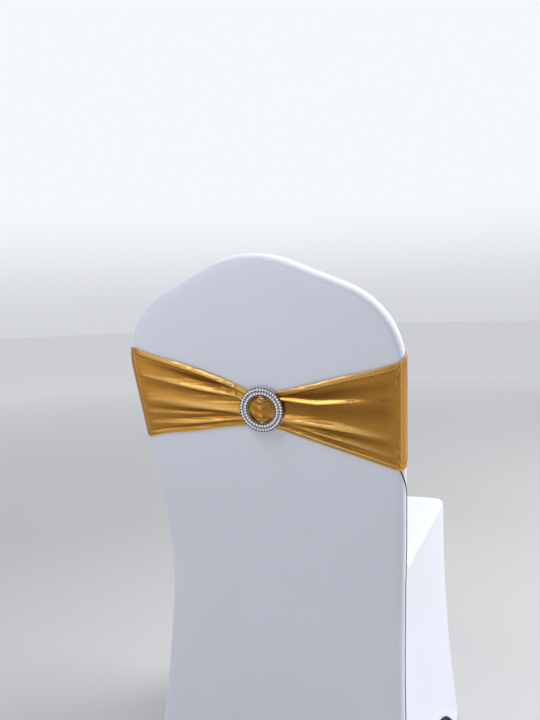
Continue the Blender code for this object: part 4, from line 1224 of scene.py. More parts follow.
# Lines kept along the edge of the back: distances round it, from its rounded start.
EDGE_LINES = (-0.020, -0.015, -0.010, -0.005, 0.0, QUARTER * 0.25, QUARTER * 0.5, QUARTER * 0.75)


def build_panels(settings):
    """The five cloth panels of the cover."""
    skin = bpy.data.materials.get("stretch_cloth") or cloth_material(settings.cloth_colour)
    step = settings.lattice
    rear_rows, front_rows = panel_rows(step)
    arcs = EDGE_LINES + (QUARTER,)
    wrap = arcs + (QUARTER + EDGE_FLAT * 0.5, QUARTER + EDGE_FLAT, EDGE_ARC - QUARTER * 0.75)

    def round_seam(distance):
        """The inside back reaches round the edge to the rear panel, then to the side skirt."""
        return EDGE_ARC - seam_arc(distance) if distance < KNEE else QUARTER

    back_rows = [row for row in front_rows if -row[1] < CREASE]
    seat_rows = [row for row in front_rows if -row[1] > CREASE]
    edge_rows = [row for row in front_rows if abs(row[1] + CREASE + SEAM_GAP / 2.0) > 1e-6]
    made = [
        Panel("rear_panel", rear_profile, 1, rear_rows, arcs, seam_arc, None, REAR_END,
              True, step).build(skin),
        Panel("inside_back", front_profile, -1, back_rows, wrap, round_seam, None,
              CREASE - SEAM_GAP / 2.0, False, step).build(skin),
        Panel("seat_and_front", front_profile, -1, seat_rows, arcs, quarter_seam,
              CREASE + SEAM_GAP / 2.0, FRONT_END, True, step).build(skin),
        side_skirt("side_skirt_left", -1, rear_rows, edge_rows, step, skin),
        side_skirt("side_skirt_right", 1, rear_rows, edge_rows, step, skin),
    ]
    for piece, node in zip(made, FLAT_CUTS):
        piece.name = node + "_cloth"
        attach(piece, "root")
        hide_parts(node)
    return made


# Sash


def fold_heights(across, share, span):
    """Gathered folds at one station of the sash, for every place across it."""
    away = abs(across)
    side = -1 if across < 0 else 1
    total = np.zeros_like(share)
    for fold_side, places, rises, above, below in FOLDS:
        if fold_side != side:
            continue
        keys = (FOLD_RING, FOLD_MIDDLE, FOLD_SIDE)
        centre = SmoothTable(keys, places[::-1])(away)
        rise = SmoothTable(keys, rises[::-1])(away)
        off = (share - centre) * span
        off = np.where(off < 0.0, off / above, off / below)
        total += rise * np.exp(-off * off)
    fade = 1.0 - smooth((away - FOLD_SIDE) / FOLD_END)
    return total * (fade * smooth((away - FOLD_START) / FOLD_RISE))


def painted_fold_light(kind, value, share):
    """Painted shade and highlight of the foil at one station: 0 darkest painted shade deep between
    folds, 0.5 none on the flat, 1 brightest painted highlight along a ridge.
    """
    span = float(SASH_TOP(min(value, SASH_END))) - float(SASH_BOTTOM(min(value, SASH_END)))
    edge = np.minimum(share, 1.0 - share) * span
    # painted highlight and shade along the hems
    hem = sum(rise * np.exp(-(((edge - at) / width) ** 2)) for at, width, rise in PAINTED_HEM_LIGHT_AND_SHADE)
    if kind == "rear":
        painted_light = 0.5 + fold_heights(value, share, span) / (2.0 * FOLD_DEEP) + hem
    elif kind == "right":
        arc = value * EDGE_ARC
        # painted highlight where the band turns round the side, and painted light past that line
        turn = PAINTED_TURN_HIGHLIGHT * math.exp(-((arc - TURN_PLACE) / TURN_WIDTH) ** 2)
        painted_light = 0.5 + turn + PAINTED_SIDE_LIGHT * smooth((arc - TURN_PLACE) / TURN_EASE) + hem
    else:
        # even painted light over the front and the left side
        painted_light = np.full_like(share, PAINTED_FRONT_LIGHT)
    return np.clip(painted_light, 0.0, 1.0)


def ripple_heights(across, down):
    """Fine ripples that run out from the ring."""
    away = abs(across)
    spread = 1.0 - RIPPLE_SPREAD * away
    total = np.zeros_like(down)
    for wave, phase, drift, height in RIPPLES:
        slip = phase + drift * across
        total += height * np.sin(2.0 * math.pi * down / wave * spread + slip)
    near = math.exp(-((away - RIPPLE_START) / RIPPLE_REACH) ** 2)
    share = RIPPLE_FAR + (1.0 - RIPPLE_FAR) * near
    return total * share * (1.0 - smooth((away - FOLD_SIDE) / FOLD_END))


def sash_heights(across, share, top, bottom):
    """Height of the sash's outer face over the rear face of the cover."""
    away = abs(across)
    span = top - bottom
    down = top - span * share - RING_V
    middle = 1.0 - (2.0 * share - 1.0) ** 2
    gather = 1.0 - smooth((away - GATHER_NEAR) / GATHER_RUN)
    base = SASH_REST + gather * (GATHER_LIFT + GATHER_BELLY * middle)
    edge = np.minimum(share, 1.0 - share) * span
    hem = SASH_HEM_RISE * (1.0 - smooth((edge - SASH_HEM) / SASH_HEM_EASE))
    height = base + fold_heights(across, share, span) + ripple_heights(across, down) + hem
    under = RING_STAND - BEHIND_RING - down * math.sin(RING_TILT)
    if away < RING_PAST:
        height = np.minimum(height, under + max(0.0, away - RING_NEAR))
    height = np.maximum(height, SASH_REST)
    height = height + (1.0 - smooth((away - LIFT_NEAR) / LIFT_RUN)) * (under - height)
    return height + over_bar(across, down, middle, height)


def over_bar(across, down, middle, height):
    """How far the sash rises above a height to pass over the bar in the ring's window."""
    away = abs(across)
    radius = np.sqrt(away * away + down * down)
    inner = RING_RADIUS - RING_WIDTH - WINDOW_GAP
    tent = max(0.0, 1.0 - (math.hypot(away, TENT_ROUND) - TENT_ROUND) / TENT_RUN)
    dome = tent * smooth((inner - radius) / WINDOW_EASE)
    dome = np.maximum(dome, (1.0 - smooth((away - BAR_NEAR) / BAR_EASE)) * (radius < inner))
    crest = RING_STAND - down * math.sin(RING_TILT) + BAR_THICK + SASH + CREST
    folds = np.zeros_like(down)
    for wave, slant, phase, rise in WINDOW_FOLDS:
        folds += rise * np.sin(2.0 * math.pi * (down + slant * across) / wave + phase)
    return dome * (crest + CREST_BELLY * middle + folds * dome - height)


def sash_stations():
    """Places round the band: where it is, and the value there."""
    near = [NEAR_STATION * k for k in range(NEAR_STATIONS)]
    run = SASH_END - near[-1]
    count = math.ceil(run / FAR_STATION)
    reach = near + [near[-1] + run * k / count for k in range(1, count)]
    rear = [-value for value in reversed(reach[1:])] + reach
    turns = [k / TURN_STATIONS * QUARTER / EDGE_ARC for k in range(TURN_STATIONS + 1)]
    shares = turns + [0.5] + [1.0 - a for a in reversed(turns)]
    made = [("rear", value) for value in rear]
    made += [("right", value) for value in shares]
    made += [("front", value) for value in np.linspace(FRONT_SHARE, -FRONT_SHARE, FRONT_STATIONS)]
    made += [("left", value) for value in reversed(shares)]
    return made


def sash_line(kind, value, share, lift):
    """World places, outward directions and distances down, across the band at one station."""
    out = np.array((0.0, -math.cos(LEAN), -math.sin(LEAN)))
    if kind == "rear":
        top, bottom = float(SASH_TOP(value)), float(SASH_BOTTOM(value))
    elif kind == "front":
        mix = (value + 1.0) / 2.0
        top = SASH_LEFT[-1][1] * (1.0 - mix) + SASH_RIGHT[-1][1] * mix
        bottom = SASH_LEFT[-1][2] * (1.0 - mix) + SASH_RIGHT[-1][2] * mix
    else:
        table = SASH_RIGHT if kind == "right" else SASH_LEFT
        keys = [row[0] for row in table]
        top = float(SmoothTable(keys, [row[1] for row in table])(value))
        bottom = float(SmoothTable(keys, [row[2] for row in table])(value))
    down = top + (bottom - top) * share
    heights = np.full(len(share), SASH_REST) + lift
    if kind == "rear":
        heights = sash_heights(value, share, top, bottom) + lift
    places, normals = [], []
    for d, height in zip(down, heights):
        half = cover_half(-d)
        width = half - EDGE_RADIUS
        if kind == "rear":
            far = max(0.0, (abs(value) - SASH_STRETCH) / (SASH_END - SASH_STRETCH))
            across = abs(value) + far * (width - SASH_END)
            fall = edge_offset(across - width)[1]
            pull = RING_U * (1.0 - min(1.0, abs(value) / RING_PULL))
            across = math.copysign(across, value) + pull
            places.append(place_point(rear_profile, 1, across, d, fall - height))
            normals.append(out)
        elif kind == "front":
            fall = edge_offset((abs(value) - 1.0) * width)[1]
            places.append(place_point(front_profile, -1, value * width, d, fall - height))
            normals.append(-out)
        else:
            side = 1 if kind == "right" else -1
            row = (half, d, 1.0, 0.0)
            place, normal = edge_point(rear_profile, 1, row, value * EDGE_ARC, height)
            place, normal = on_side(side, place, normal)
            places.append(place)
            normals.append(normal)
    return places, normals, down


def build_sash(settings):
    """The foil sash: one closed band, gathered through the buckle behind the back."""
    skin = bpy.data.materials.get("gold_foil") or foil_material(settings.foil_colour)
    even = np.linspace(0.0, 1.0, SASH_ROWS)
    share = even - ROWS_TO_EDGES * np.sin(2.0 * math.pi * even) / (2.0 * math.pi)
    stations = sash_stations()
    places, normals, flats, folds = [], [], [], []
    along, before = 0.0, None
    for kind, value in stations:
        # painted shade and highlight of the foil at each place, kept in the fold attribute
        folds += list(painted_fold_light(kind, value, share))
        line, facing, down = sash_line(kind, value, share, 0.0)
        middle = np.array(line[SASH_ROWS // 2])
        if before is not None:
            along += float(np.linalg.norm(middle - before))
        before = middle
        places += line
        normals += facing
        flats += [(along, float(d)) for d in down]
    faces = []
    count = len(stations)
    for i in range(count):
        ahead = (i + 1) % count
        for r in range(SASH_ROWS - 1):
            low, high = i * SASH_ROWS + r, ahead * SASH_ROWS + r
            faces.append((low, low + 1, high + 1, high))
    sash = thick_mesh("sash_foil_band", places, normals, faces, SASH, flats, skin)
    # the fold attribute carries the painted shade and highlight of the foil
    sash.data.attributes.new("fold", "FLOAT", "POINT").data.foreach_set("value", folds + folds)
    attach(sash, "root")
    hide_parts("sash_band")
    return sash


# Buckle


def ring_place():
    """Centre of the ring's back and its directions: up and off the cover."""
    tilt = LEAN - RING_TILT
    y, z, _ = rear_profile(-RING_V)
    centre = np.array((RING_U, y - RING_STAND * math.cos(LEAN), z - RING_STAND * math.sin(LEAN)))
    up = np.array((0.0, -math.sin(tilt), math.cos(tilt)))
    off = np.array((0.0, -math.cos(tilt), -math.sin(tilt)))
    return centre + SHIFT, up, off


def ring_world(across, height, rise):
    """World place of a point in the ring's own directions."""
    centre, up, off = ring_place()
    return centre + np.array((across, 0.0, 0.0)) + up * height + off * rise


def ring_body():
    """Points and faces of the ring, its section turned about its middle."""
    middle = RING_RADIUS - RING_WIDTH / 2.0
    size = len(RING_SECTION)
    points, faces = [], []
    for k in range(RING_TURNS):
        angle = 2.0 * math.pi * k / RING_TURNS
        for out, rise in RING_SECTION:
            radius = middle + out * RING_WIDTH / 2.0
            points.append(ring_world(radius * math.cos(angle), radius * math.sin(angle), rise))
    for k in range(RING_TURNS):
        ahead = (k + 1) % RING_TURNS
        for s in range(size):
            t = (s + 1) % size
            faces.append((k * size + t, ahead * size + t, ahead * size + s, k * size + s))
    return points, faces


def add_bar(points, faces):
    """Add the round bar that stands up across the ring's window."""
    base = len(points)
    length = RING_RADIUS - RING_WIDTH + BAR_SUNK
    for end in (-1, 1):
        for k in range(BAR_SIDES):
            angle = 2.0 * math.pi * k / BAR_SIDES
            rise = BAR_BACK + BAR_THICK / 2.0 * (1.0 + math.sin(angle))
            points.append(ring_world(BAR_WIDTH / 2.0 * math.cos(angle), end * length, rise))
    far = base + BAR_SIDES
    faces.append(tuple(base + k for k in range(BAR_SIDES)))
    faces.append(tuple(far + k for k in reversed(range(BAR_SIDES))))
    for k in range(BAR_SIDES):
        t = (k + 1) % BAR_SIDES
        faces.append((base + t, base + k, far + k, far + t))


def build_ring(settings):
    """Round slider: a ring with two channels for stones and a bar across its window."""
    skin = bpy.data.materials.get("plated_metal") or metal_material(settings.metal_colour)
    points, faces = ring_body()
    # the channels' faces get the painted shadow material
    marks = [0] * len(faces)
    for k in range(RING_TURNS):
        for s in RING_CHANNELS:
            marks[k * len(RING_SECTION) + s] = 1
    add_bar(points, faces)
    marks += [0] * (len(faces) - len(marks))
    mesh = bpy.data.meshes.new("buckle_metal_ring")
    mesh.from_pydata([tuple(p) for p in points], [], faces)
    mesh.update()
    mesh.polygons.foreach_set("use_smooth", [True] * len(mesh.polygons))
    mesh.set_sharp_from_angle(angle=math.radians(50.0))
    mesh.materials.append(skin)
    mesh.materials.append(painted_shadow_metal())
    mesh.polygons.foreach_set("material_index", marks)
    ring = bpy.data.objects.new("buckle_metal_ring", mesh)
    bpy.context.scene.collection.objects.link(ring)
    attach(ring, "root")
    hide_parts("buckle_ring")
    return ring


# What repeats along a path


def row_tree():
    """Node tree that sets one small piece at even places along a path."""
    tree = bpy.data.node_groups.get("set_in_a_row")
    if tree:
        return tree
    tree = bpy.data.node_groups.new("set_in_a_row", "GeometryNodeTree")
    face = tree.interface
    face.new_socket("Path", in_out="INPUT", socket_type="NodeSocketGeometry")
    face.new_socket("Piece", in_out="INPUT", socket_type="NodeSocketObject")
    face.new_socket("Count", in_out="INPUT", socket_type="NodeSocketInt")
    face.new_socket("Seed", in_out="INPUT", socket_type="NodeSocketInt")
    face.new_socket("Material", in_out="INPUT", socket_type="NodeSocketMaterial")
    face.new_socket("Row", in_out="OUTPUT", socket_type="NodeSocketGeometry")
    link = tree.links.new
    start = tree.nodes.new("NodeGroupInput")
    end = tree.nodes.new("NodeGroupOutput")
    line = tree.nodes.new("GeometryNodeMeshToCurve")
    link(start.outputs["Path"], line.inputs["Mesh"])
    even = tree.nodes.new("GeometryNodeResampleCurve")
    link(line.outputs[0], even.inputs["Curve"])
    link(start.outputs["Count"], even.inputs["Count"])
    facing = add_node(tree, "GeometryNodeInputNamedAttribute", data_type="FLOAT_VECTOR")
    facing.inputs["Name"].default_value = "facing"
    first = add_node(tree, "FunctionNodeAlignRotationToVector", axis="X")
    link(tree.nodes.new("GeometryNodeInputTangent").outputs[0], first.inputs["Vector"])
    second = add_node(tree, "FunctionNodeAlignRotationToVector", axis="Z", pivot_axis="X")
    link(first.outputs[0], second.inputs["Rotation"])
    link(facing.outputs[0], second.inputs["Vector"])
    piece = tree.nodes.new("GeometryNodeObjectInfo")
    link(start.outputs["Piece"], piece.inputs["Object"])
    place = tree.nodes.new("GeometryNodeInstanceOnPoints")
    link(even.outputs[0], place.inputs["Points"])
    link(piece.outputs["Geometry"], place.inputs["Instance"])
    link(second.outputs[0], place.inputs["Rotation"])
    chance = add_node(tree, "FunctionNodeRandomValue", data_type="FLOAT")
    link(start.outputs["Seed"], chance.inputs["Seed"])
    tint = add_node(tree, "GeometryNodeStoreNamedAttribute", data_type="FLOAT", domain="INSTANCE")
    tint.inputs["Name"].default_value = "tint"
    link(place.outputs[0], tint.inputs["Geometry"])
    link(chance.outputs[1], tint.inputs["Value"])
    real = tree.nodes.new("GeometryNodeRealizeInstances")
    link(tint.outputs[0], real.inputs["Geometry"])
    skin = tree.nodes.new("GeometryNodeSetMaterial")
    link(real.outputs[0], skin.inputs["Geometry"])
    link(start.outputs["Material"], skin.inputs["Material"])
    link(skin.outputs[0], end.inputs["Row"])
    return tree


def set_row(name, places, normals, closed, piece, count, seed, skin):
    """Pieces at even places along a path, as one plain mesh."""
    mesh = bpy.data.meshes.new(name)
    last = len(places) if closed else len(places) - 1
    edges = [(k, (k + 1) % len(places)) for k in range(last)]
    mesh.from_pydata([tuple(p) for p in places], edges, [])
    facing = mesh.attributes.new("facing", "FLOAT_VECTOR", "POINT")
    facing.data.foreach_set("vector", np.array(normals, float).ravel())
    made = bpy.data.objects.new(name, mesh)
    bpy.context.scene.collection.objects.link(made)
    tree = row_tree()
    rows = made.modifiers.new("row", "NODES")
    rows.node_group = tree
    keys = {item.name: item.identifier for item in tree.interface.items_tree}
    rows[keys["Piece"]] = piece
    rows[keys["Count"]] = count
    rows[keys["Seed"]] = seed
    rows[keys["Material"]] = skin
    made.update_tag()
    graph = bpy.context.evaluated_depsgraph_get()
    graph.update()
    real = bpy.data.meshes.new_from_object(made.evaluated_get(graph))
    made.modifiers.clear()
    made.data = real
    if len(real.polygons) < count:
        raise RuntimeError(name + " came out empty")
    return made


def template(name, points, faces, smooth_faces):
    """A small mesh that rows are made of, taken away once they are."""
    mesh = bpy.data.meshes.new(name)
    mesh.from_pydata(points, [], faces)
    mesh.update()
    mesh.polygons.foreach_set("use_smooth", [smooth_faces] * len(faces))
    made = bpy.data.objects.new(name, mesh)
    bpy.context.scene.collection.objects.link(made)
    return made


def turned(rings, sides, half_step):
    """Points and faces of a small turned shape: rings of radius and height, both ends capped."""
    points, faces = [], []
    for number, (radius, height) in enumerate(rings):
        for k in range(sides):
            angle = 2.0 * math.pi * (k + half_step * (number % 2)) / sides
            points.append((radius * math.cos(angle), radius * math.sin(angle), height))
    for ring in range(len(rings) - 1):
        for k in range(sides):
            t = (k + 1) % sides
            low, high = ring * sides, (ring + 1) * sides
            if ring % 2 == 0 or not half_step:
                faces += [(low + k, low + t, high + k), (low + t, high + t, high + k)]
            else:
                faces += [(low + k, low + t, high + t), (low + k, high + t, high + k)]
    faces.append(tuple(reversed(range(sides))))
    faces.append(tuple(range((len(rings) - 1) * sides, len(rings) * sides)))
    return points, faces


def circle_path(radius, rise):
    """Circle about the ring's middle."""
    off = ring_place()[2]
    turns = [2.0 * math.pi * k / CIRCLE_POINTS for k in range(CIRCLE_POINTS)]
    places = [ring_world(radius * math.cos(a), radius * math.sin(a), rise) for a in turns]
    return places, [off] * CIRCLE_POINTS


def join(name, objects):
    """Several meshes as one object."""
    bpy.ops.object.select_all(action="DESELECT")
    for thing in objects:
        thing.select_set(True)
    bpy.context.view_layer.objects.active = objects[0]
    bpy.ops.object.join()
    objects[0].name = name
    return objects[0]


def build_stones(settings):
    """Two rows of cut stones in the ring, with small beads of metal beside them."""
    section = [(settings.stone_size * share, height) for share, height in STONE_SECTION]
    stone = template("stone_shape", *turned(section, STONE_SIDES, 0.5), False)
    bead = template("bead_shape", *turned(BEAD_SECTION, BEAD_SIDES, 0.5), True)
    clear = bpy.data.materials.get("cut_stones") or stone_material()
    metal = bpy.data.materials.get("plated_metal") or metal_material(settings.metal_colour)
    outer, inner, seed = settings.outer_stones, settings.inner_stones, settings.seed
    stone_rows = (
        ("outer_stones", OUTER_ROW, outer, seed),
        ("inner_stones", INNER_ROW, inner, seed + 1),
    )
    bead_rows = (
        ("outer_beads", RING_RADIUS - BEAD_INSET, BEAD_RISE, outer),
        ("middle_beads", (OUTER_ROW + INNER_ROW) / 2.0, MIDDLE_BEAD_RISE, outer - FEWER_BEADS),
        ("inner_beads", RING_RADIUS - RING_WIDTH + BEAD_INSET, BEAD_RISE, inner),
    )
    stones = join("cut_stones", [
        set_row(name, *circle_path(radius, STONE_RISE), True, stone, count, chance, clear)
        for name, radius, count, chance in stone_rows
    ])
    beads = join("stone_beads", [
        set_row(name, *circle_path(radius, rise), True, bead, count, seed, metal)
        for name, radius, rise, count in bead_rows
    ])
    for shape in (stone, bead):
        bpy.data.objects.remove(shape, do_unlink=True)
    for piece in (stones, beads):
        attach(piece, "root")
    return stones, beads


def stitch_shape(name, length, thick):
    """One stitch along X: a bowed bar with tapered ends."""
    points, faces = [], []
    for along, share, rise in STITCH_SECTION:
        for k in range(STITCH_SIDES):
            angle = 2.0 * math.pi * k / STITCH_SIDES
            points.append((
                length / 2.0 * along,
                thick / 2.0 * share * math.cos(angle),
                thick / 2.0 * (share * math.sin(angle) + rise),
            ))
    last = (len(STITCH_SECTION) - 1) * STITCH_SIDES
    for low in range(0, last, STITCH_SIDES):
        high = low + STITCH_SIDES
        for k in range(STITCH_SIDES):
            t = (k + 1) % STITCH_SIDES
            faces.append((low + k, low + t, high + t, high + k))
    faces.append(tuple(reversed(range(STITCH_SIDES))))
    faces.append(tuple(range(last, last + STITCH_SIDES)))
    return template(name, points, faces, True)


def path_length(places, closed):
    """Length of a path."""
    points = np.array(places)
    if closed:
        points = np.vstack((points, points[:1]))
    return float(np.linalg.norm(np.diff(points, axis=0), axis=1).sum())


def sash_stitch_paths():
    """Stitch lines along the two hems of the sash, right round the band."""
    paths = []
    for top in (True, False):
        places, normals = [], []
        for kind, value in sash_stations():
            ends = sash_line(kind, value, np.array([0.0, 1.0]), 0.0)[2]
            span = float(ends[0] - ends[1])
            share = SASH_HEM / span if top else 1.0 - SASH_HEM / span
            if kind == "rear" and abs(value) < HIDDEN_BY_RING:
                share = float(np.clip(share, 0.10, 0.90))
            line, facing, _ = sash_line(kind, value, np.array([share]), SASH_STITCH_LIFT)
            places.append(line[0])
            normals.append(facing[0])
        paths.append((places, normals))
    return paths


def hem_paths():
    """Stitch lines along the hems of the rear panel and of the front."""
    paths = []
    for profile, inward, end in ((rear_profile, 1, REAR_END), (front_profile, -1, FRONT_END)):
        width = half_width(end, profile) - EDGE_RADIUS
        span = width - FOOT_WIDTH
        places, normals = [], []
        for across in np.linspace(-width, width, HEM_STITCH_POINTS):
            down = -end + hem_share(across, span) + HEM_STITCH
            _, z, heading = profile(-down)
            depth = bow(across, width, z) - HEM_RISE - HEM_STITCH_LIFT
            places.append(place_point(profile, inward, across, down, depth))
            normals.append((0.0, -inward * math.cos(heading), -inward * math.sin(heading)))
        paths.append((places, normals))
    return paths


def seam_paths():
    """Paths of the two seams that run down from under the sash, along the rear panel, stitched
    dark as their painted shadow.
    """
    rows = outline_samples(rear_profile, REAR_END, REAR_MARKS, SEAM_STITCH_STEP)
    paths = []
    for side, start in ((-1, SEAM_ROUND), (1, SEAM_START)):
        places, normals = [], []
        for row in rows:
            if -row[1] < start:
                continue
            arc = seam_arc(-row[1])
            point = edge_point(rear_profile, 1, row, arc, SEAM_STITCH_LIFT)
            place, normal = on_side(side, *point)
            places.append(place)
            normals.append(normal)
        paths.append((places, normals))
    return paths


def sewn(name, paths, closed, shape, pitch, seed, thread):
    """Stitches at an even pitch along every path, as one object."""
    rows = []
    for number, (places, normals) in enumerate(paths):
        count = round(path_length(places, closed) / pitch)
        row = "%s_%d" % (name, number)
        rows.append(set_row(row, places, normals, closed, shape, count, seed, thread))
    return join(name, rows)


def build_stitches(settings):
    """Stitch lines of the sash's hems and the cover's hems, and dark stitches painted as the
    shadow of the two seams.
    """
    pitch, seed = settings.stitch_pitch, settings.seed
    gold = thread_material("gold_thread", GOLD_THREAD, 0.35)
    white = thread_material("white_thread", WHITE_THREAD, 0.0)
    # dark stitches painted as the shadow in the side seams' gap
    dark = thread_material("painted_seam_shadow_thread", PAINTED_SEAM_SHADOW, 0.0)
    fine = stitch_shape("fine_stitch", pitch * FINE_STITCH_SHARE, FINE_STITCH_THICK)
    close = stitch_shape("close_stitch", CLOSE_STITCH, CLOSE_STITCH_THICK)
    sash = sewn("sash_stitches", sash_stitch_paths(), True, fine, pitch, seed, gold)
    hems = sewn("hem_stitches", hem_paths(), False, fine, pitch, seed, white)
    seams = sewn("seam_stitches", seam_paths(), False, close, CLOSE_PITCH, seed, dark)
    for shape in (close, fine):
        bpy.data.objects.remove(shape, do_unlink=True)
    made = ((sash, "sash_foil"), (hems, "cover_cloth"), (seams, "cover_cloth"))
    for piece, slot in made:
        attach(piece, "root")
    return made


# Stage


def floor_material():
    """Pale floor that grows paler with distance."""
    made, tree, shader = new_material("pale_floor")
    spot = tree.nodes.new("ShaderNodeTexCoord")
    mottle = mottled(tree, spot.outputs["Object"], 1.4)
    tint = mixed(tree, mottle, shade(FLOOR_COLOUR, 0.985), shade(FLOOR_COLOUR, 1.01))
    reach = tree.nodes.new("ShaderNodeVectorMath")
    reach.operation = "LENGTH"
    tree.links.new(spot.outputs["Object"], reach.inputs[0])
    paler = add_node(tree, "ShaderNodeMapRange", From_Min=PALER_FROM, From_Max=PALER_TO)
    tree.links.new(reach.outputs["Value"], paler.inputs["Value"])
    whole = mixed(tree, paler.outputs[0], tint, FAR_FLOOR + (1.0,))
    tree.links.new(whole, shader.inputs["Base Color"])
    shader.inputs["Roughness"].default_value = 0.9
    shader.inputs["Specular IOR Level"].default_value = 0.1
    return made


def build_floor():
    """Level round floor, just under the hems."""
    points, faces = [(0.0, 0.0, -FLOOR_DROP)], []
    for ring in range(1, FLOOR_RINGS + 1):
        radius = FLOOR_STEP * ring
        for k in range(FLOOR_TURNS):
            angle = 2.0 * math.pi * k / FLOOR_TURNS
            points.append((radius * math.cos(angle), radius * math.sin(angle), -FLOOR_DROP))
    for k in range(FLOOR_TURNS):
        faces.append((0, 1 + k, 1 + (k + 1) % FLOOR_TURNS))
    for ring in range(FLOOR_RINGS - 1):
        low, high = 1 + ring * FLOOR_TURNS, 1 + (ring + 1) * FLOOR_TURNS
        for k in range(FLOOR_TURNS):
            t = (k + 1) % FLOOR_TURNS
            faces.append((low + k, high + k, high + t, low + t))
    mesh = bpy.data.meshes.new("pale_floor")
    mesh.from_pydata(points, [], faces)
    mesh.update()
    mesh.polygons.foreach_set("use_smooth", [True] * len(faces))
    mesh.materials.append(floor_material())
    floor = bpy.data.objects.new("pale_floor", mesh)
    bpy.context.scene.collection.objects.link(floor)
    return floor


def build_lights():
    """The soft lights."""
    made = []
    for name, place, aim, size, power, colour in LIGHTS:
        lamp = bpy.data.lights.new(name, "AREA")
        lamp.shape = "RECTANGLE"
        lamp.size, lamp.size_y = size
        lamp.energy = power
        lamp.color = colour
        light = bpy.data.objects.new(name, lamp)
        bpy.context.scene.collection.objects.link(light)
        light.matrix_world = aimed(place, aim)
        made.append(light)
    return made


def set_room():
    """Soft light all round: bright behind the cover, dim behind the camera."""
    world = bpy.data.worlds.new("soft_room")
    world.use_nodes = True
    room = world.node_tree
    split = room.nodes.new("ShaderNodeSeparateXYZ")
    room.links.new(room.nodes.new("ShaderNodeTexCoord").outputs["Generated"], split.inputs[0])
    side = add_node(room, "ShaderNodeMapRange", From_Min=-0.5, From_Max=0.3)
    side.interpolation_type = "SMOOTHSTEP"
    room.links.new(split.outputs["Y"], side.inputs["Value"])
    low = add_node(room, "ShaderNodeMapRange", From_Min=-0.03, From_Max=0.14, To_Min=ROOM_HORIZON)
    low.interpolation_type = "SMOOTHSTEP"
    room.links.new(split.outputs["Z"], low.inputs["Value"])
    back = room.nodes["Background"]
    tone = mixed(room, side.outputs[0], ROOM_FRONT + (1.0,), ROOM_BEHIND + (1.0,))
    room.links.new(tone, back.inputs["Color"])
    room.links.new(maths(room, "MULTIPLY", low.outputs[0], ROOM_LIGHT), back.inputs["Strength"])
    bpy.context.scene.world = world


def set_camera():
    """The camera, at the place that was fitted."""
    lens = bpy.data.cameras.new("camera")
    lens.sensor_fit = "VERTICAL"
    lens.sensor_height = SENSOR
    lens.lens = LENS
    lens.clip_start, lens.clip_end = 0.05, 60.0
    camera = bpy.data.objects.new("camera", lens)
    bpy.context.scene.collection.objects.link(camera)
    camera.matrix_world = camera_matrix()
    bpy.context.scene.camera = camera
    bpy.context.scene.view_settings.view_transform = "Standard"


def build_stage():
    """Pale floor, soft lights, soft room and the camera."""
    floor = build_floor()
    lights = build_lights()
    set_room()
    set_camera()


def aimed(place, aim):
    """Matrix of a light that stands at one place and shines at another."""
    from_place = Matrix.Translation(place)
    look = (Matrix.Translation(aim).translation - from_place.translation).to_track_quat("-Z", "Y")
    return from_place @ look.to_matrix().to_4x4()


def camera_matrix():
    """Place and turn of the camera, as fitted to the outline."""
    turn, pitch, roll = CAMERA_TURN, CAMERA_PITCH, CAMERA_ROLL
    ahead = np.array((
        -math.sin(turn) * math.cos(pitch), math.cos(turn) * math.cos(pitch), -math.sin(pitch)
    ))
    right = np.array((math.cos(turn), math.sin(turn), 0.0))
    up = np.cross(right, ahead)
    right, up = (
        right * math.cos(roll) + up * math.sin(roll),
        up * math.cos(roll) - right * math.sin(roll),
    )
    made = Matrix.Identity(4)
    for i in range(3):
        made[i][0], made[i][1], made[i][2] = right[i], up[i], -ahead[i]
        made[i][3] = CAMERA_PLACE[i]
    return made


class ChairCoverOperator:
    """What the operators share."""

    bl_options = {"REGISTER", "UNDO"}


class CHAIRCOVER_OT_panels(ChairCoverOperator, bpy.types.Operator):
    """Build the five cloth panels"""

    bl_idname = "chaircover.panels"
    bl_label = "Cover panels"

    def execute(self, context):
        build_panels(context.scene.chair_cover)
        return {"FINISHED"}


class CHAIRCOVER_OT_sash(ChairCoverOperator, bpy.types.Operator):
    """Build the gathered foil sash"""

    bl_idname = "chaircover.sash"
    bl_label = "Foil sash"

    def execute(self, context):
        build_sash(context.scene.chair_cover)
        return {"FINISHED"}


class CHAIRCOVER_OT_ring(ChairCoverOperator, bpy.types.Operator):
    """Build the round slider"""

    bl_idname = "chaircover.ring"
    bl_label = "Slider ring"

    def execute(self, context):
        build_ring(context.scene.chair_cover)
        return {"FINISHED"}


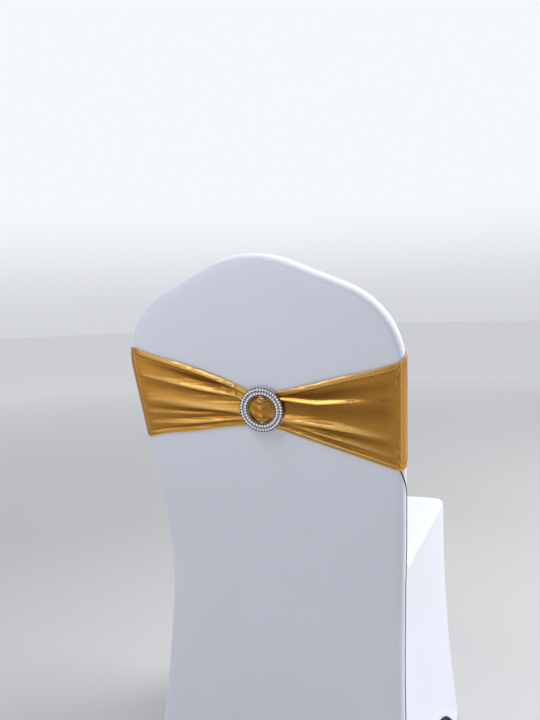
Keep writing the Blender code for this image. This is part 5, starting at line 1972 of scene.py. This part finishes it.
class CHAIRCOVER_OT_stones(ChairCoverOperator, bpy.types.Operator):
    """Set the stones and their beads"""

    bl_idname = "chaircover.stones"
    bl_label = "Stones"

    def execute(self, context):
        build_stones(context.scene.chair_cover)
        return {"FINISHED"}


class CHAIRCOVER_OT_stitches(ChairCoverOperator, bpy.types.Operator):
    """Sew the stitch lines"""

    bl_idname = "chaircover.stitches"
    bl_label = "Stitches"

    def execute(self, context):
        build_stitches(context.scene.chair_cover)
        return {"FINISHED"}


class CHAIRCOVER_OT_stage(ChairCoverOperator, bpy.types.Operator):
    """Set the floor, the lights and the camera"""

    bl_idname = "chaircover.stage"
    bl_label = "Stage"

    def execute(self, context):
        build_stage()
        return {"FINISHED"}


OPERATORS = (
    CHAIRCOVER_OT_panels, CHAIRCOVER_OT_sash, CHAIRCOVER_OT_ring, CHAIRCOVER_OT_stones,
    CHAIRCOVER_OT_stitches, CHAIRCOVER_OT_stage,
)


class CHAIRCOVER_PT_sidebar(bpy.types.Panel):
    """Settings and steps"""

    bl_idname = "CHAIRCOVER_PT_sidebar"
    bl_label = "Chair cover with sash"
    bl_space_type = "VIEW_3D"
    bl_region_type = "UI"
    bl_category = "Chair Cover"

    def draw(self, context):
        settings = context.scene.chair_cover
        for name in CoverSettings.__annotations__:
            self.layout.prop(settings, name)
        for step in OPERATORS:
            self.layout.operator(step.bl_idname)


CLASSES = (CoverSettings, *OPERATORS, CHAIRCOVER_PT_sidebar)


def register():
    """Register the add-on."""
    for item in CLASSES:
        bpy.utils.register_class(item)
    bpy.types.Scene.chair_cover = PointerProperty(type=CoverSettings)


def unregister():
    """Take the add-on out again."""
    del bpy.types.Scene.chair_cover
    for item in reversed(CLASSES):
        bpy.utils.unregister_class(item)


def main():
    """Build every piece in order."""
    register()
    bpy.ops.chaircover.panels()
    bpy.ops.chaircover.sash()
    bpy.ops.chaircover.ring()
    bpy.ops.chaircover.stones()
    bpy.ops.chaircover.stitches()
    bpy.ops.chaircover.stage()


if __name__ == "__main__":
    main()
